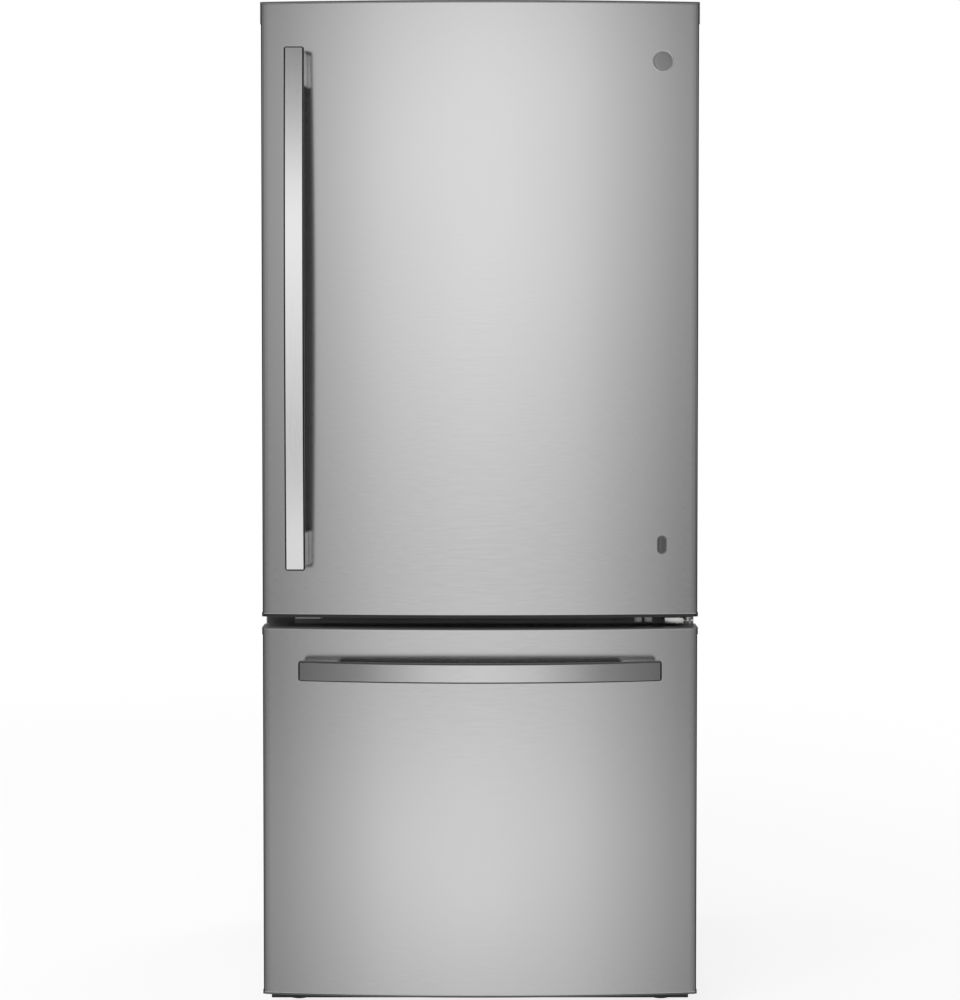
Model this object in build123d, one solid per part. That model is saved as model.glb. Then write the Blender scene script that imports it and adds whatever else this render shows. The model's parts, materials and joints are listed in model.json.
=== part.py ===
from build123d import *
import math
import os

# Bottom freezer refrigerator, 30 inch class, millimetres.
# +Z up, the doors face -Y, +X is the right-hand side seen from the front.
# The origin is on the floor, under the middle of the whole outline.

# Case
case_width = 752.0
case_depth = 714.0
case_top_z = 1730.0
case_bottom_z = 52.0
case_sheet = 1.0
case_corner = 6.0
flange_lap = 8.0            # steel face of the case over the edges of the liners
wall = 50.0                 # foam walls, outside of case to inside of liner
back_wall = 62.0
floor_wall = 58.0
liner_sheet = 2.0
liner_corner = 22.0
flange_width = 14.0         # flat edge of the liners behind the case front
back_panel_recess = 8.0
machine_cover_recess = 6.0

# Doors
door_bottom_z = 34.0        # underside of the drawer front
drawer_height = 640.0
door_gap = 19.0
door_top_z = 1751.0
front_overhang = 0.6        # each side of the case
door_side_depth = 66.0
door_bow = 27.0
front_corner = 6.0
door_sheet = 1.0
cap_proud = 1.2
cap_lip = 2.5
cap_skirt = 14.0
gasket_depth = 12.0
gasket_gap = 0.3
gasket_outer = 17.0         # outer edge of the gasket outside the compartment's wall
top_ear = 37.0              # how far down the sides the top cap wraps

# Handles
grip_width = 34.0
grip_thickness = 13.0
grip_edge = 2.5
door_grip_length = 892.0
door_grip_x = -316.0
door_grip_low_z = 777.0     # lower end
door_grip_rise = 14.0       # how far its middle stands ahead of its ends
door_grip_reach = 70.0      # front of its middle ahead of the doors' side edges
drawer_grip_length = 623.0
drawer_grip_z = 604.4       # middle of the bar
drawer_grip_reach = 62.0    # front of the bar's middle ahead of the skin
drawer_grip_end_reach = 52.0    # front of its ends ahead of the doors' side edges
standoff_length = 60.0

# Trim on the upper door
badge_x = 314.0
badge_z = 1649.0
badge_radius = 18.5
tag_z = 818.0
tag_width = 17.0
tag_height = 32.6
stop_x = 285.0

# Hinges
hinge_inset = 14.6          # pin axis to the side of the door
hinge_setback = 26.0        # pin axis to the rear of the door
pin_radius = 5.0
fit = 0.09                  # radial clearance of pins and shafts
hinge_plate = 4.0
hinge_recess = 23.0         # pocket in the top cap that the hinge arm swings in
hinge_arm_width = 16.0
hinge_edge_inset = 4.0      # centre hinge bracket to the side of the case
pin_sides = 12              # flats round a pin, and round the hole it turns in
door_swing = 135.0

# Centre rail and the two compartments
rail_height = 57.0
machine_depth = 190.0
machine_height = 250.0
machine_wall = 55.0
evaporator_space = 74.0

# Shelves, crispers and bins
shelf_heights = (1085.0, 1262.0, 1440.0)
shelf_front_setback = 118.0     # shelf front behind the case front
shelf_thickness = 16.0
shelf_side_gap = 9.0
glass_thickness = 3.2
crisper_height = 178.0
crisper_wall = 2.5
crisper_gap = 14.0
crisper_side_gap = 20.0
dike_depth = 52.0           # liner ridge on the back of the door
dike_width = 24.0
dike_side_gap = 12.0        # ridge to the compartment wall
bin_reach = 102.0           # how far a bin stands into the compartment from the back of the door
bin_wall = 2.8
bin_bases = (761.0, 1010.0, 1222.0)
bin_heights = (120.0, 96.0, 96.0)
dairy_base_z = 1420.0
dairy_height = 80.0
dairy_hinge_rise = 45.0     # lid's pins above the trough
lid_pin_radius = 3.0
shelf_back_gap = 34.0
track_depth = 12.0
track_x = 150.0
duct_half = 78.0
duct_depth = 20.0

# Freezer drawer
rail_z = 330.0              # middle of the telescoping rails
rail_size = 40.0
rail_depth = 14.0
rail_sheet = 1.6
rail_clear = 0.5
rail_setback = 6.0          # front end of the rails behind the case front
rail_end_gap = 23.0         # rear end of the rails to the step over the machine space
basket_wall = 3.0
lower_basket_depth = 214.0
basket_rim_z = 352.0
upper_basket_height = 132.0
ledge_z = 541.0             # top of the ledges under the upper basket's rims
ledge_width = 22.0

# Cooling system
fan_shaft_radius = 2.5
fan_radius = 50.0
evaporator_fan_z = 578.0
compressor_radius = 76.0
compressor_x = -160.0
shroud_x = 36.0
condenser_x = 158.0
condenser_length = 190.0
plane_pitch = 38.0
condenser_fan_radius = 62.0
condenser_fan_z = 150.0
inlet_x = 310.0
inlet_z = 92.0

# Base
channel_setback = 26.0      # outer side of the channel to the side of the case
channel_width = 56.0
channel_sheet = 2.0
channel_low_z = 14.0
pan_z = 40.0
leg_setback = 42.0          # leg axis behind the case front
leg_foot_radius = 19.0
leg_stem_radius = 6.0
leg_plate_z = 28.0
roller_radius = 19.0
roller_width = 22.0
front_roller_lift = 3.0     # the legs hold the front rollers this far off the floor
front_roller_setback = 94.0
rear_roller_setback = 60.0
axle_radius = 4.0

# Derived places
total_depth = case_depth + gasket_depth + door_side_depth + door_bow + drawer_grip_reach
back_y = total_depth / 2
case_front_y = back_y - case_depth
door_rear_y = case_front_y - gasket_depth
door_edge_y = door_rear_y - door_side_depth
door_front_y = door_edge_y - door_bow
half_case = case_width / 2
half_front = half_case + front_overhang
drawer_top_z = door_bottom_z + drawer_height
upper_bottom_z = drawer_top_z + door_gap
rail_centre_z = (drawer_top_z + upper_bottom_z) / 2
freezer_top_z = rail_centre_z - rail_height / 2
fresh_floor_z = rail_centre_z + rail_height / 2
fresh_top_z = case_top_z - wall
freezer_floor_z = case_bottom_z + floor_wall
half_cavity = half_case - wall
case_flange = wall - flange_width + flange_lap      # steel face that the gaskets hold on to
hinge_leg_inner = half_cavity + gasket_outer + 2
hinge_leg_outer = half_case - hinge_edge_inset
cavity_back_y = back_y - back_panel_recess - back_wall
machine_front_y = back_y - machine_depth
machine_top_z = case_bottom_z + machine_height
step_y = machine_front_y - machine_wall
step_z = machine_top_z + machine_wall
rail_length = step_y - rail_end_gap - case_front_y - rail_setback
hinge_x = half_front - hinge_inset
hinge_y = door_rear_y - hinge_setback
half_dike = half_cavity - dike_side_gap
half_bin = half_dike - dike_width - 1.5
shelf_front_y = case_front_y + shelf_front_setback
door_grip_front_y = door_edge_y - door_grip_reach
crisper_rim_z = fresh_floor_z + crisper_gap + crisper_height - 3
crisper_cover_z = crisper_rim_z + 3.6
dairy_hinge_y = door_rear_y + 14
dairy_hinge_z = dairy_base_z + dairy_height + dairy_hinge_rise
evaporator_cover_y = cavity_back_y - evaporator_space
machine_mid_y = (machine_front_y + back_y - machine_cover_recess) / 2
leg_x = half_case - channel_setback - channel_width / 2
leg_y = case_front_y + leg_setback
front_axle = (case_front_y + front_roller_setback, roller_radius + front_roller_lift)
rear_axle = (back_y - rear_roller_setback, roller_radius)


def block(x0, x1, y0, y1, z0, z1):
    """Box between two corners."""
    centre = Pos((x0 + x1) / 2, (y0 + y1) / 2, (z0 + z1) / 2)
    return centre * Box(x1 - x0, y1 - y0, z1 - z0)


def along_x(sketch, x0, x1):
    """Extrude a sketch drawn in Y and Z."""
    return extrude(Plane.YZ.offset(x0) * sketch, x1 - x0)


def along_y(sketch, y0, y1):
    """Extrude a sketch drawn in X and Z."""
    return extrude(Plane.XZ.offset(-y1) * sketch, y1 - y0)


def along_z(sketch, z0, z1):
    """Extrude a sketch drawn in X and Y."""
    return extrude(Plane.XY.offset(z0) * sketch, z1 - z0)


def rod_x(radius, x0, x1, y, z, sides=pin_sides):
    return along_x(Pos(y, z) * RegularPolygon(radius, sides), x0, x1)


def rod_y(radius, y0, y1, x, z, sides=pin_sides):
    return along_y(Pos(x, z) * RegularPolygon(radius, sides), y0, y1)


def rod_z(radius, z0, z1, x, y, sides=pin_sides):
    return along_z(Pos(x, y) * RegularPolygon(radius, sides), z0, z1)


def bore(radius, sides=pin_sides):
    """Section of a hole whose flats clear a rod of the given radius, each facing one of its edges."""
    return RegularPolygon(radius + fit, sides, major_radius=False, rotation=180 / sides)


def bore_x(radius, x0, x1, y, z):
    return along_x(Pos(y, z) * bore(radius), x0, x1)


def bore_z(radius, z0, z1, x, y):
    return along_z(Pos(x, y) * bore(radius), z0, z1)


def panel_points(x0, x1, y0, y1, radius, flats=3):
    """Outline of a rectangle between two corners, with its own corners rounded in flats."""
    centres = ((x1 - radius, y1 - radius), (x0 + radius, y1 - radius),
               (x0 + radius, y0 + radius), (x1 - radius, y0 + radius))
    points = []
    for quarter, (x, y) in enumerate(centres):
        for step in range(flats + 1):
            angle = math.radians(90 * (quarter + step / flats))
            points.append((x + radius * math.cos(angle), y + radius * math.sin(angle)))
    return points


def panel(x0, x1, y0, y1, radius, flats=3):
    return make_face(Polyline(*panel_points(x0, x1, y0, y1, radius, flats), close=True))


def ring_points(radius, sides):
    angles = [math.tau * side / sides for side in range(sides)]
    return [(radius * math.cos(angle), radius * math.sin(angle)) for angle in angles]


def stacked(stations, twisted=False):
    """Solid of flat faces from outlines of equal count, each with its height along Z."""
    rings = [[(x, y, z) for x, y in points] for z, points in stations]
    faces = [rings[0], rings[-1]]
    for lower, upper in zip(rings, rings[1:]):
        for a in range(len(lower)):
            b = (a + 1) % len(lower)
            if twisted:
                faces += [(lower[a], lower[b], upper[b]), (lower[a], upper[b], upper[a])]
            else:
                faces.append((lower[a], lower[b], upper[b], upper[a]))
    return Solid(Shell([Face(Wire.make_polygon(corners)) for corners in faces]))


def slot(length, height, x=0.0, y=0.0):
    """Long hexagon-ended slot, as a sketch."""
    half, end = length / 2, length / 2 - height / 3
    return Pos(x, y) * make_face(Polyline(
        (-half, 0), (-end, -height / 2), (end, -height / 2), (half, 0), (end, height / 2),
        (-end, height / 2), close=True))


def pair(shape):
    """A piece and its mirror image on the other side of the middle."""
    return [shape, mirror(shape, Plane.YZ)]


def solids_of(shapes):
    found = []
    for shape in shapes:
        if isinstance(shape, (list, tuple)):
            found += solids_of(shape)
        else:
            found += shape.solids()
    return found


def save(node, *shapes):
    solids = solids_of(shapes)
    whole = solids[0] if len(solids) == 1 else Compound(solids)
    export_step(whole, f"parts/{node}.step")
    print(node, len(solids))


# Cabinet

def case_outline(inset, bottom_z):
    """Front view of the case with rolled top corners, a given way inside its outer face."""
    half = half_case - inset
    top = case_top_z - inset
    shape = Pos(0, (bottom_z + top) / 2) * Rectangle(2 * half, top - bottom_z)
    return fillet(shape.vertices().group_by(Axis.Y)[-1], max(case_corner - inset, 1))


def outer_case():
    shell = along_y(case_outline(0, case_bottom_z), case_front_y, back_y)
    inside = along_y(case_outline(case_sheet, case_bottom_z), case_front_y + case_sheet, back_y)
    shell -= inside
    opening = half_case - case_flange
    shell -= block(-opening, opening, case_front_y, case_front_y + case_sheet,
                   case_bottom_z, case_top_z - case_flange)
    # the sides and top are folded in at the back, where the back panel is screwed on
    fold = along_y(case_outline(case_sheet, case_bottom_z), back_y - case_sheet, back_y)
    fold -= along_y(case_outline(12, case_bottom_z - 1), back_y - case_sheet, back_y)
    floor = block(-half_case + case_sheet, half_case - case_sheet, case_front_y, machine_front_y,
                  case_bottom_z, case_bottom_z + case_sheet)
    return shell + fold + floor


def back_panel():
    """Rear sheet with pressed stiffening beads."""
    outer_y = back_y - back_panel_recess
    half = half_case - case_sheet - 0.5
    low, high = machine_top_z + 1, case_top_z - case_sheet - 0.5
    sheet = along_y(panel(-half, half, low, high, 4), outer_y - 1, outer_y)
    bead_step = (high - low) / 6
    for row in range(1, 6):
        middle = low + row * bead_step
        bead = along_y(slot(2 * half - 120, 26, 0, middle), outer_y, outer_y + 3)
        bead = chamfer(bead.faces().sort_by(Axis.Y)[-1].edges(), 2.4)
        sheet += bead
    return sheet


def fresh_cavity(inset):
    """Fresh food compartment, grown by inset from the liner's inner face."""
    half = half_cavity + inset
    face = panel(-half, half, fresh_floor_z - inset, fresh_top_z + inset, liner_corner + inset, 6)
    return along_y(face, case_front_y + case_sheet, cavity_back_y + inset)


def freezer_cavity(inset):
    """Freezer compartment: its floor stops short of the machine compartment behind it."""
    half = half_cavity + inset
    low, high = freezer_floor_z - inset, freezer_top_z + inset
    side = Polyline((case_front_y + case_sheet, low), (step_y + inset, low),
                    (step_y + inset, step_z - inset), (cavity_back_y + inset, step_z - inset),
                    (cavity_back_y + inset, high), (case_front_y + case_sheet, high), close=True)
    cavity = along_x(make_face(side), -half, half)
    long_edges = cavity.edges().filter_by(Axis.Y)
    return chamfer(long_edges, liner_corner / 2 + inset * 0.6)


def machine_space():
    return block(-half_case, half_case, machine_front_y, back_y, 0, machine_top_z)


def liner_flange(low, high, below, above):
    """Flat edge of a liner, tucked in behind the front of the case."""
    half = half_cavity + flange_width
    return block(-half, half, case_front_y + case_sheet, case_front_y + case_sheet + liner_sheet,
                 low - below, high + above)


def cabinet_insulation():
    rear_y = back_y - back_panel_recess - 1.0
    bottom_z = case_bottom_z + case_sheet
    foam = along_y(case_outline(case_sheet, bottom_z), case_front_y + case_sheet, rear_y)
    foam -= fresh_cavity(liner_sheet)
    foam -= freezer_cavity(liner_sheet)
    foam -= machine_space()
    # room for the rail that stiffens the front between the compartments
    rail_half = half_case - case_flange
    foam -= block(-rail_half, rail_half, case_front_y, case_front_y + 14, freezer_top_z + liner_sheet,
                  fresh_floor_z - liner_sheet)
    for flange in (liner_flange(fresh_floor_z, fresh_top_z, liner_sheet, flange_width),
                   liner_flange(freezer_floor_z, freezer_top_z, flange_width, liner_sheet)):
        foam -= flange
    return foam


def shelf_rib(z, depth_y):
    """Moulded ledge along a side wall of a liner."""
    reach = shelf_side_gap + 2
    profile = Polyline((half_cavity, z), (half_cavity - reach, z), (half_cavity - reach, z - 3),
                       (half_cavity, z - 16), close=True)
    return along_y(make_face(profile), case_front_y + 150, depth_y)


def fresh_food_liner():
    flange = liner_flange(fresh_floor_z, fresh_top_z, liner_sheet, flange_width)
    liner = fresh_cavity(liner_sheet) + flange - fresh_cavity(0)
    for ledge in pair(shelf_rib(crisper_cover_z, cavity_back_y - 30)):
        liner += ledge
    return liner


def freezer_liner():
    flange = liner_flange(freezer_floor_z, freezer_top_z, flange_width, liner_sheet)
    return freezer_cavity(liner_sheet) + flange - freezer_cavity(0)


def center_rail():
    """Folded steel rail between the compartments, with the screw face of the centre hinge."""
    low, high = freezer_top_z + liner_sheet, fresh_floor_z - liner_sheet
    half = half_case - case_flange
    rail = block(-half, half, case_front_y, case_front_y + 14, low, high)
    rail -= block(-half, half, case_front_y + 1.6, case_front_y + 14, low + 1.6, high - 1.6)
    groove = along_x(Pos(case_front_y, rail_centre_z) * Rectangle(2, 8), -half, half - 70)
    return rail - groove


def base_channel():
    """Left or right steel channel under the case: it carries the roller axles and a leg."""
    inner, outer = half_case - channel_setback - channel_width, half_case - channel_setback
    front_y, rear_y = case_front_y + 8, back_y - 10
    channel = block(inner, outer, front_y, rear_y, channel_low_z, case_bottom_z)
    channel -= block(inner + channel_sheet, outer - channel_sheet, front_y, rear_y, channel_low_z,
                     case_bottom_z - channel_sheet)
    for y, z in (front_axle, rear_axle):
        channel += rod_x(axle_radius, inner, outer, y, z)
    leg_plate = block(inner, outer, leg_y - 16, leg_y + 16, leg_plate_z, leg_plate_z + 4)
    return channel + leg_plate - bore_z(leg_stem_radius, 0, leg_plate_z + 5, leg_x, leg_y)


def base_rails():
    half = half_case - channel_setback - channel_width
    low = pan_z
    front_y, rear_y = machine_front_y - 14, back_y - 6
    pan = block(-half, half, front_y, rear_y, low, low + 2)
    pan += block(-half, half, front_y, front_y + 2, low, case_bottom_z)
    return pair(base_channel()), pan


def leveling_leg():
    """Threaded leg with a flat foot and a hexagon to turn it by."""
    sole, rim = ring_points(leg_foot_radius, 20), ring_points(leg_foot_radius - 2, 20)
    leg = Pos(leg_x, leg_y) * stacked([(0, sole), (3, sole), (5, rim)])
    leg += rod_z(10, 5, 13, leg_x, leg_y, 6)
    return leg + rod_z(leg_stem_radius, 13, leg_plate_z + 14, leg_x, leg_y)


def roller(place):
    """Roller with one bevelled tread edge, free on its axle."""
    y, z = place
    half = roller_width / 2
    tread, rim = ring_points(roller_radius, 18), ring_points(roller_radius - 2, 18)
    wheel = stacked([(-half, tread), (half - 3, tread), (half, rim)])
    wheel = Pos(leg_x, y, z) * Rot(0, 90, 0) * wheel
    return wheel - bore_x(axle_radius, leg_x - half, leg_x + half, y, z)


def base_grille():
    """Toe grille behind the drawer's lower edge, with air slots."""
    half = half_case - 8
    front = case_front_y - 8
    grille = block(-half, half, front, front + 3, 10, case_bottom_z - 3)
    for z in (14, case_bottom_z - 9):
        grille += block(-half, half, front, case_front_y + 8, z, z + 2)
    slots = 15
    pitch = (2 * half - 60) / slots
    for column in range(slots):
        x = -half + 30 + (column + 0.5) * pitch
        grille -= block(x - pitch * 0.34, x + pitch * 0.34, front, front + 3, 20, case_bottom_z - 13)
    for clip in pair(block(half - 30, half - 12, case_front_y, case_front_y + 8, 14, channel_low_z + 10)):
        grille += clip
    return grille


# Doors

def front_plan(inset, rear_inset=0.0, bevelled=False):
    """Top view of a door: straight sides and rear, bowed front, rounded or bevelled front corners."""
    half = half_front - inset
    edge, front, rear = door_edge_y + inset, door_front_y + inset, door_rear_y - rear_inset
    bow = ThreePointArc((-half, edge), (0, front), (half, edge))
    sides = Polyline((half, edge), (half, rear), (-half, rear), (-half, edge))
    face = make_face(bow.edges() + sides.edges())
    corners = face.vertices().sort_by(Axis.Y)[:2]
    size = max(front_corner - inset, 0.8)
    return chamfer(corners, size) if bevelled else fillet(corners, size)


def ear_plan():
    """The parts of a cap that wrap round the door's sides."""
    band = front_plan(-cap_proud) - front_plan(door_sheet)
    keep = Pos(0, (door_edge_y + door_rear_y) / 2 + 1) * Rectangle(3 * half_front,
                                                                   door_side_depth - 2)
    middle = Pos(0, door_rear_y) * Rectangle(2 * half_front - 8, 4 * door_side_depth)
    return band & keep - middle


def cap(end_z, inward, ear_height):
    """Plastic cap on the end of a door: lip, skirt inside the skin, and side ears."""
    lip_end = end_z + inward * cap_lip
    lip = along_z(front_plan(0) + ear_plan(), min(end_z, lip_end), max(end_z, lip_end))
    skirt_end = end_z + inward * (cap_lip + cap_skirt)
    rear = door_sheet + liner_sheet
    inside = Pos(0, (door_edge_y + door_rear_y) / 2) * Rectangle(
        2 * half_front - 2 * door_sheet - 5, door_side_depth - 2 * rear - 5)
    ring = front_plan(door_sheet, rear, True) - inside
    skirt = along_z(ring, min(lip_end, skirt_end), max(lip_end, skirt_end))
    ear_end = end_z + inward * ear_height
    ears = along_z(ear_plan(), min(end_z, ear_end), max(end_z, ear_end))
    return lip + skirt + ears


def hinge_corner(low, high):
    """Block of cap plastic round the hinge pin."""
    edge = half_front - door_sheet
    return block(hinge_x - 24, edge, door_edge_y + 14, door_rear_y - door_sheet - liner_sheet, low, high)


def hinge_pocket():
    """Pocket in the top cap, open to the rear and side, that clears the hinge arm through the swing."""
    margin = hinge_arm_width / 2 + 2
    turn = math.radians(door_swing)
    along, across = (math.sin(turn), math.cos(turn)), (math.cos(turn), -math.sin(turn))
    reach = 60
    start = (hinge_x + margin * across[0], hinge_y + margin * across[1])
    end = (start[0] + reach * along[0], start[1] + reach * along[1])
    outline = Polyline((hinge_x - margin, door_rear_y + 5), (hinge_x - margin, hinge_y), start, end,
                       (end[0] + 20, door_rear_y + 5), close=True)
    return along_z(make_face(outline), door_top_z - hinge_recess, door_top_z + 1)


def top_cap_bulk():
    """Top cap before its pocket and pin hole are cut."""
    return cap(door_top_z, -1, top_ear) + hinge_corner(door_top_z - hinge_recess - 24, door_top_z)


def bottom_cap_bulk():
    return cap(upper_bottom_z, 1, 7) + hinge_corner(upper_bottom_z, upper_bottom_z + 26)


def door_top_cap():
    floor_z = door_top_z - hinge_recess
    shape = top_cap_bulk() - hinge_pocket()
    return shape - bore_z(pin_radius, floor_z - 22, floor_z, hinge_x, hinge_y)


def door_bottom_cap():
    # plug that closes the pin hole of the other hinge side
    plug = along_z(slot(48, 12, 78 - half_front, hinge_y), upper_bottom_z - 3, upper_bottom_z)
    shape = bottom_cap_bulk() + plug
    return shape - bore_z(pin_radius, upper_bottom_z - 1, upper_bottom_z + 22, hinge_x, hinge_y)


def drawer_top_cap():
    return cap(drawer_top_z, -1, 12)


def drawer_bottom_cap():
    return cap(door_bottom_z, 1, 6)


def front_skin(low, high, *caps):
    """Bowed steel front, wrapped round the sides and folded in at the rear."""
    plan = front_plan(0) - front_plan(door_sheet, door_sheet)
    plan -= Pos(0, door_rear_y) * Rectangle(2 * (half_front - 16), 3 * door_sheet)
    skin = along_z(plan, low + cap_lip, high - cap_lip)
    for piece in caps:
        skin -= piece
    return skin


def ridge(half, low, high, width, depth, inset):
    """Raised ring on the back of a door, which plugs the compartment."""
    outer = panel(-half + inset, half - inset, low + inset, high - inset, 16 - inset)
    inner = panel(-half + width - inset, half - width + inset, low + width - inset,
                  high - width + inset, 10)
    body = along_y(outer - inner, door_rear_y - 1 - inset, door_rear_y + depth - inset)
    return chamfer(body.faces().sort_by(Axis.Y)[-1].edges(), 6 - inset)


def front_liner(low, high, half, ridge_low, ridge_high, width, depth):
    face_y = door_rear_y - door_sheet
    edge = half_front - door_sheet
    liner = block(-edge, edge, face_y - liner_sheet, face_y, low + cap_lip, high - cap_lip)
    liner += ridge(half, ridge_low, ridge_high, width, depth, 0)
    return liner - ridge(half, ridge_low, ridge_high, width, depth, liner_sheet)


def front_foam(low, high, caps, half, ridge_low, ridge_high, width, depth):
    foam = along_z(front_plan(door_sheet, door_sheet + liner_sheet, True), low + cap_lip,
                   high - cap_lip)
    foam += ridge(half, ridge_low, ridge_high, width, depth, liner_sheet)
    for piece in caps:
        foam -= piece
    return foam


def door_ridge():
    return (half_dike, fresh_floor_z + dike_side_gap, fresh_top_z - dike_side_gap, dike_width,
            dike_depth)


def drawer_ridge():
    return (half_cavity - 42, freezer_floor_z + 16, freezer_top_z - 14, 30.0, 20.0)


def gasket(low, high):
    """Magnetic gasket round a compartment: base, bellows and magnet strip."""
    near, far = door_rear_y - door_sheet, case_front_y - gasket_gap
    steps = ((near, near + 3, 4, gasket_outer - 2), (near + 3, far - 5, 6, gasket_outer - 4),
             (far - 5, far, 2, gasket_outer))
    rings = []
    for start, end, inner, outer in steps:
        # mitred corners, so the outlines are plain rectangles
        ring = block(-half_cavity - outer, half_cavity + outer, start, end, low - outer, high + outer)
        ring -= block(-half_cavity - inner, half_cavity + inner, start, end, low - inner,
                      high + inner)
        rings.append(ring)
    return rings[0] + rings[1] + rings[2]


def door_trim(sketch, proud):
    """Flat trim that follows the bowed front, from a sketch in X and Z."""
    outer = along_z(front_plan(-proud), 0, door_top_z)
    slug = along_y(sketch, door_front_y - 2 * proud, door_edge_y)
    return (slug & outer) - along_z(front_plan(0), 0, door_top_z)


def front_badges():
    """Blank round badge and blank oval tag at the hinge side of the upper door."""
    badge = door_trim(Pos(badge_x, badge_z) * RegularPolygon(badge_radius, 24), 1.4)
    tag = door_trim(panel(badge_x - tag_width / 2, badge_x + tag_width / 2, tag_z - tag_height / 2,
                          tag_z + tag_height / 2, tag_width / 2 - 0.1), 1.2)
    return badge, tag


def door_grip():
    """Vertical bar with a flat face, bowed a little outwards."""
    low, high = door_grip_low_z, door_grip_low_z + door_grip_length
    middle = (low + high) / 2
    crown = door_grip_front_y
    ends = crown + door_grip_rise
    front = ThreePointArc((ends, low), (crown, middle), (ends, high))
    back = ThreePointArc((ends + grip_thickness, low), (crown + grip_thickness, middle),
                         (ends + grip_thickness, high))
    caps = [Line(front @ 0, back @ 0), Line(front @ 1, back @ 1)]
    bar = along_x(make_face(front.edges() + back.edges() + caps), door_grip_x - grip_width / 2,
                  door_grip_x + grip_width / 2)
    return chamfer(bar.faces().sort_by(Axis.Y)[0].edges(), grip_edge)


def door_standoffs():
    """Two feet behind the bar's ends, a little wider than the bar on its inner side."""
    low = door_grip_low_z
    door = along_z(front_plan(0), 0, door_top_z)
    bar = door_grip()
    feet = []
    for base in (low + 6, low + door_grip_length - 6 - standoff_length):
        x0, x1 = door_grip_x - grip_width / 2 + 4, door_grip_x + grip_width / 2 + 7
        start = door_grip_front_y + door_grip_rise + grip_thickness / 2
        foot = along_z(panel(x0, x1, start, door_edge_y, 5), base, base + standoff_length)
        feet.append((foot - door - bar).solids().sort_by(SortBy.VOLUME)[-1])
    return feet


def drawer_grip_arcs():
    """Plan arcs of the front and back of the horizontal bar."""
    half = drawer_grip_length / 2
    crown = door_front_y - drawer_grip_reach
    ends = door_edge_y - drawer_grip_end_reach
    front = ThreePointArc((-half, ends), (0, crown), (half, ends))
    back = ThreePointArc((-half, ends + grip_thickness), (0, crown + grip_thickness),
                         (half, ends + grip_thickness))
    return front, back


def drawer_grip():
    """Horizontal bar, bowed like the drawer but more."""
    front, back = drawer_grip_arcs()
    caps = [Line(front @ 0, back @ 0), Line(front @ 1, back @ 1)]
    bar = along_z(make_face(front.edges() + back.edges() + caps), drawer_grip_z - grip_width / 2,
                  drawer_grip_z + grip_width / 2)
    return chamfer(bar.faces().sort_by(Axis.Y)[0].edges(), grip_edge)


def drawer_standoffs():
    door = along_z(front_plan(0), 0, door_top_z)
    half = drawer_grip_length / 2
    start = door_front_y - drawer_grip_reach
    bar = drawer_grip()
    foot = along_y(panel(half - 8 - standoff_length, half - 8, drawer_grip_z - grip_width / 2 + 4,
                         drawer_grip_z + grip_width / 2 - 4, 5), start, door_edge_y)
    foot = (foot - door - bar).solids().sort_by(SortBy.VOLUME)[-1]
    return pair(foot)


def door_stop():
    """Two-lobed stop under the door, next to the centre hinge."""
    low, high = upper_bottom_z - 9, upper_bottom_z
    plate = along_z(panel(stop_x - 17, stop_x + 17, hinge_y - 12, hinge_y + 12, 4), high - 3, high)
    for x in (stop_x - 9, stop_x + 9):
        plate += rod_z(7, low, high - 3, x, hinge_y - 2, 14)
    return plate


# Hinges

def top_hinge():
    """Plate on the case top whose arm reaches over the door's pocket, with the pin under its end."""
    low, high = case_top_z, case_top_z + hinge_plate
    half_arm = hinge_arm_width / 2
    plate_edge = hinge_x + half_arm
    base = panel(plate_edge - 74, plate_edge, case_front_y + 14, case_front_y + 96, 6)
    arm = Pos(hinge_x, (hinge_y + case_front_y + 20) / 2) * Rectangle(
        hinge_arm_width, case_front_y + 20 - hinge_y)
    body = along_z(base + arm + Pos(hinge_x, hinge_y) * RegularPolygon(half_arm, 20), low, high)
    return body + rod_z(pin_radius, door_top_z - hinge_recess - 18, low, hinge_x, hinge_y)


def hinge_screw_places():
    right = hinge_x - 6
    return [(right - 52, case_front_y + 34), (right - 52, case_front_y + 78),
            (right, case_front_y + 34), (right, case_front_y + 78)]


def top_hinge_cover():
    low, high = case_top_z, door_top_z - 2
    edge = hinge_x + hinge_arm_width / 2 + 3
    outside = along_z(panel(edge - 84, edge, case_front_y + 3, case_front_y + 106, 8), low, high)
    outside = chamfer(outside.faces().sort_by(Axis.Z)[-1].edges(), 3)
    inside = along_z(panel(edge - 81.5, edge - 2.5, case_front_y + 5.5, case_front_y + 103.5, 6),
                     low, high - 2.5)
    mouth = block(hinge_x - hinge_arm_width / 2 - 1, hinge_x + hinge_arm_width / 2 + 1,
                  case_front_y, case_front_y + 10, low, low + hinge_plate + 1)
    return outside - inside - mouth


def center_hinge():
    """Bracket on the case front: screw leg, plate between the doors, folded front edge and pin."""
    z = rail_centre_z - 2.5
    leg = block(hinge_leg_inner, hinge_leg_outer, case_front_y - 3, case_front_y, z - 28, z + 32)
    plate = block(hinge_x - 40, hinge_leg_outer, hinge_y - 8, case_front_y, z, z + 4)
    plate += rod_z(10, z, z + 4, hinge_x, hinge_y, 20)
    fold = block(hinge_x - 40, hinge_x - 8, hinge_y - 11, hinge_y - 8, z - 3, z + 7)
    knuckle = rod_z(8, z + 4, z + 8, hinge_x, hinge_y, 20)
    pin = rod_z(pin_radius, z + 8, upper_bottom_z + 20, hinge_x, hinge_y)
    return leg + plate + fold + knuckle + pin


def screw_up(x, y, z):
    """Hexagon head screw, standing up from z."""
    return rod_z(5.6, z, z + 4.5, x, y, 6)


def screw_front(x, y, z, toward):
    """Low pan head screw on a face across Y."""
    return rod_y(4.2, min(y, y + 2 * toward), max(y, y + 2 * toward), x, z, 6)


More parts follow.
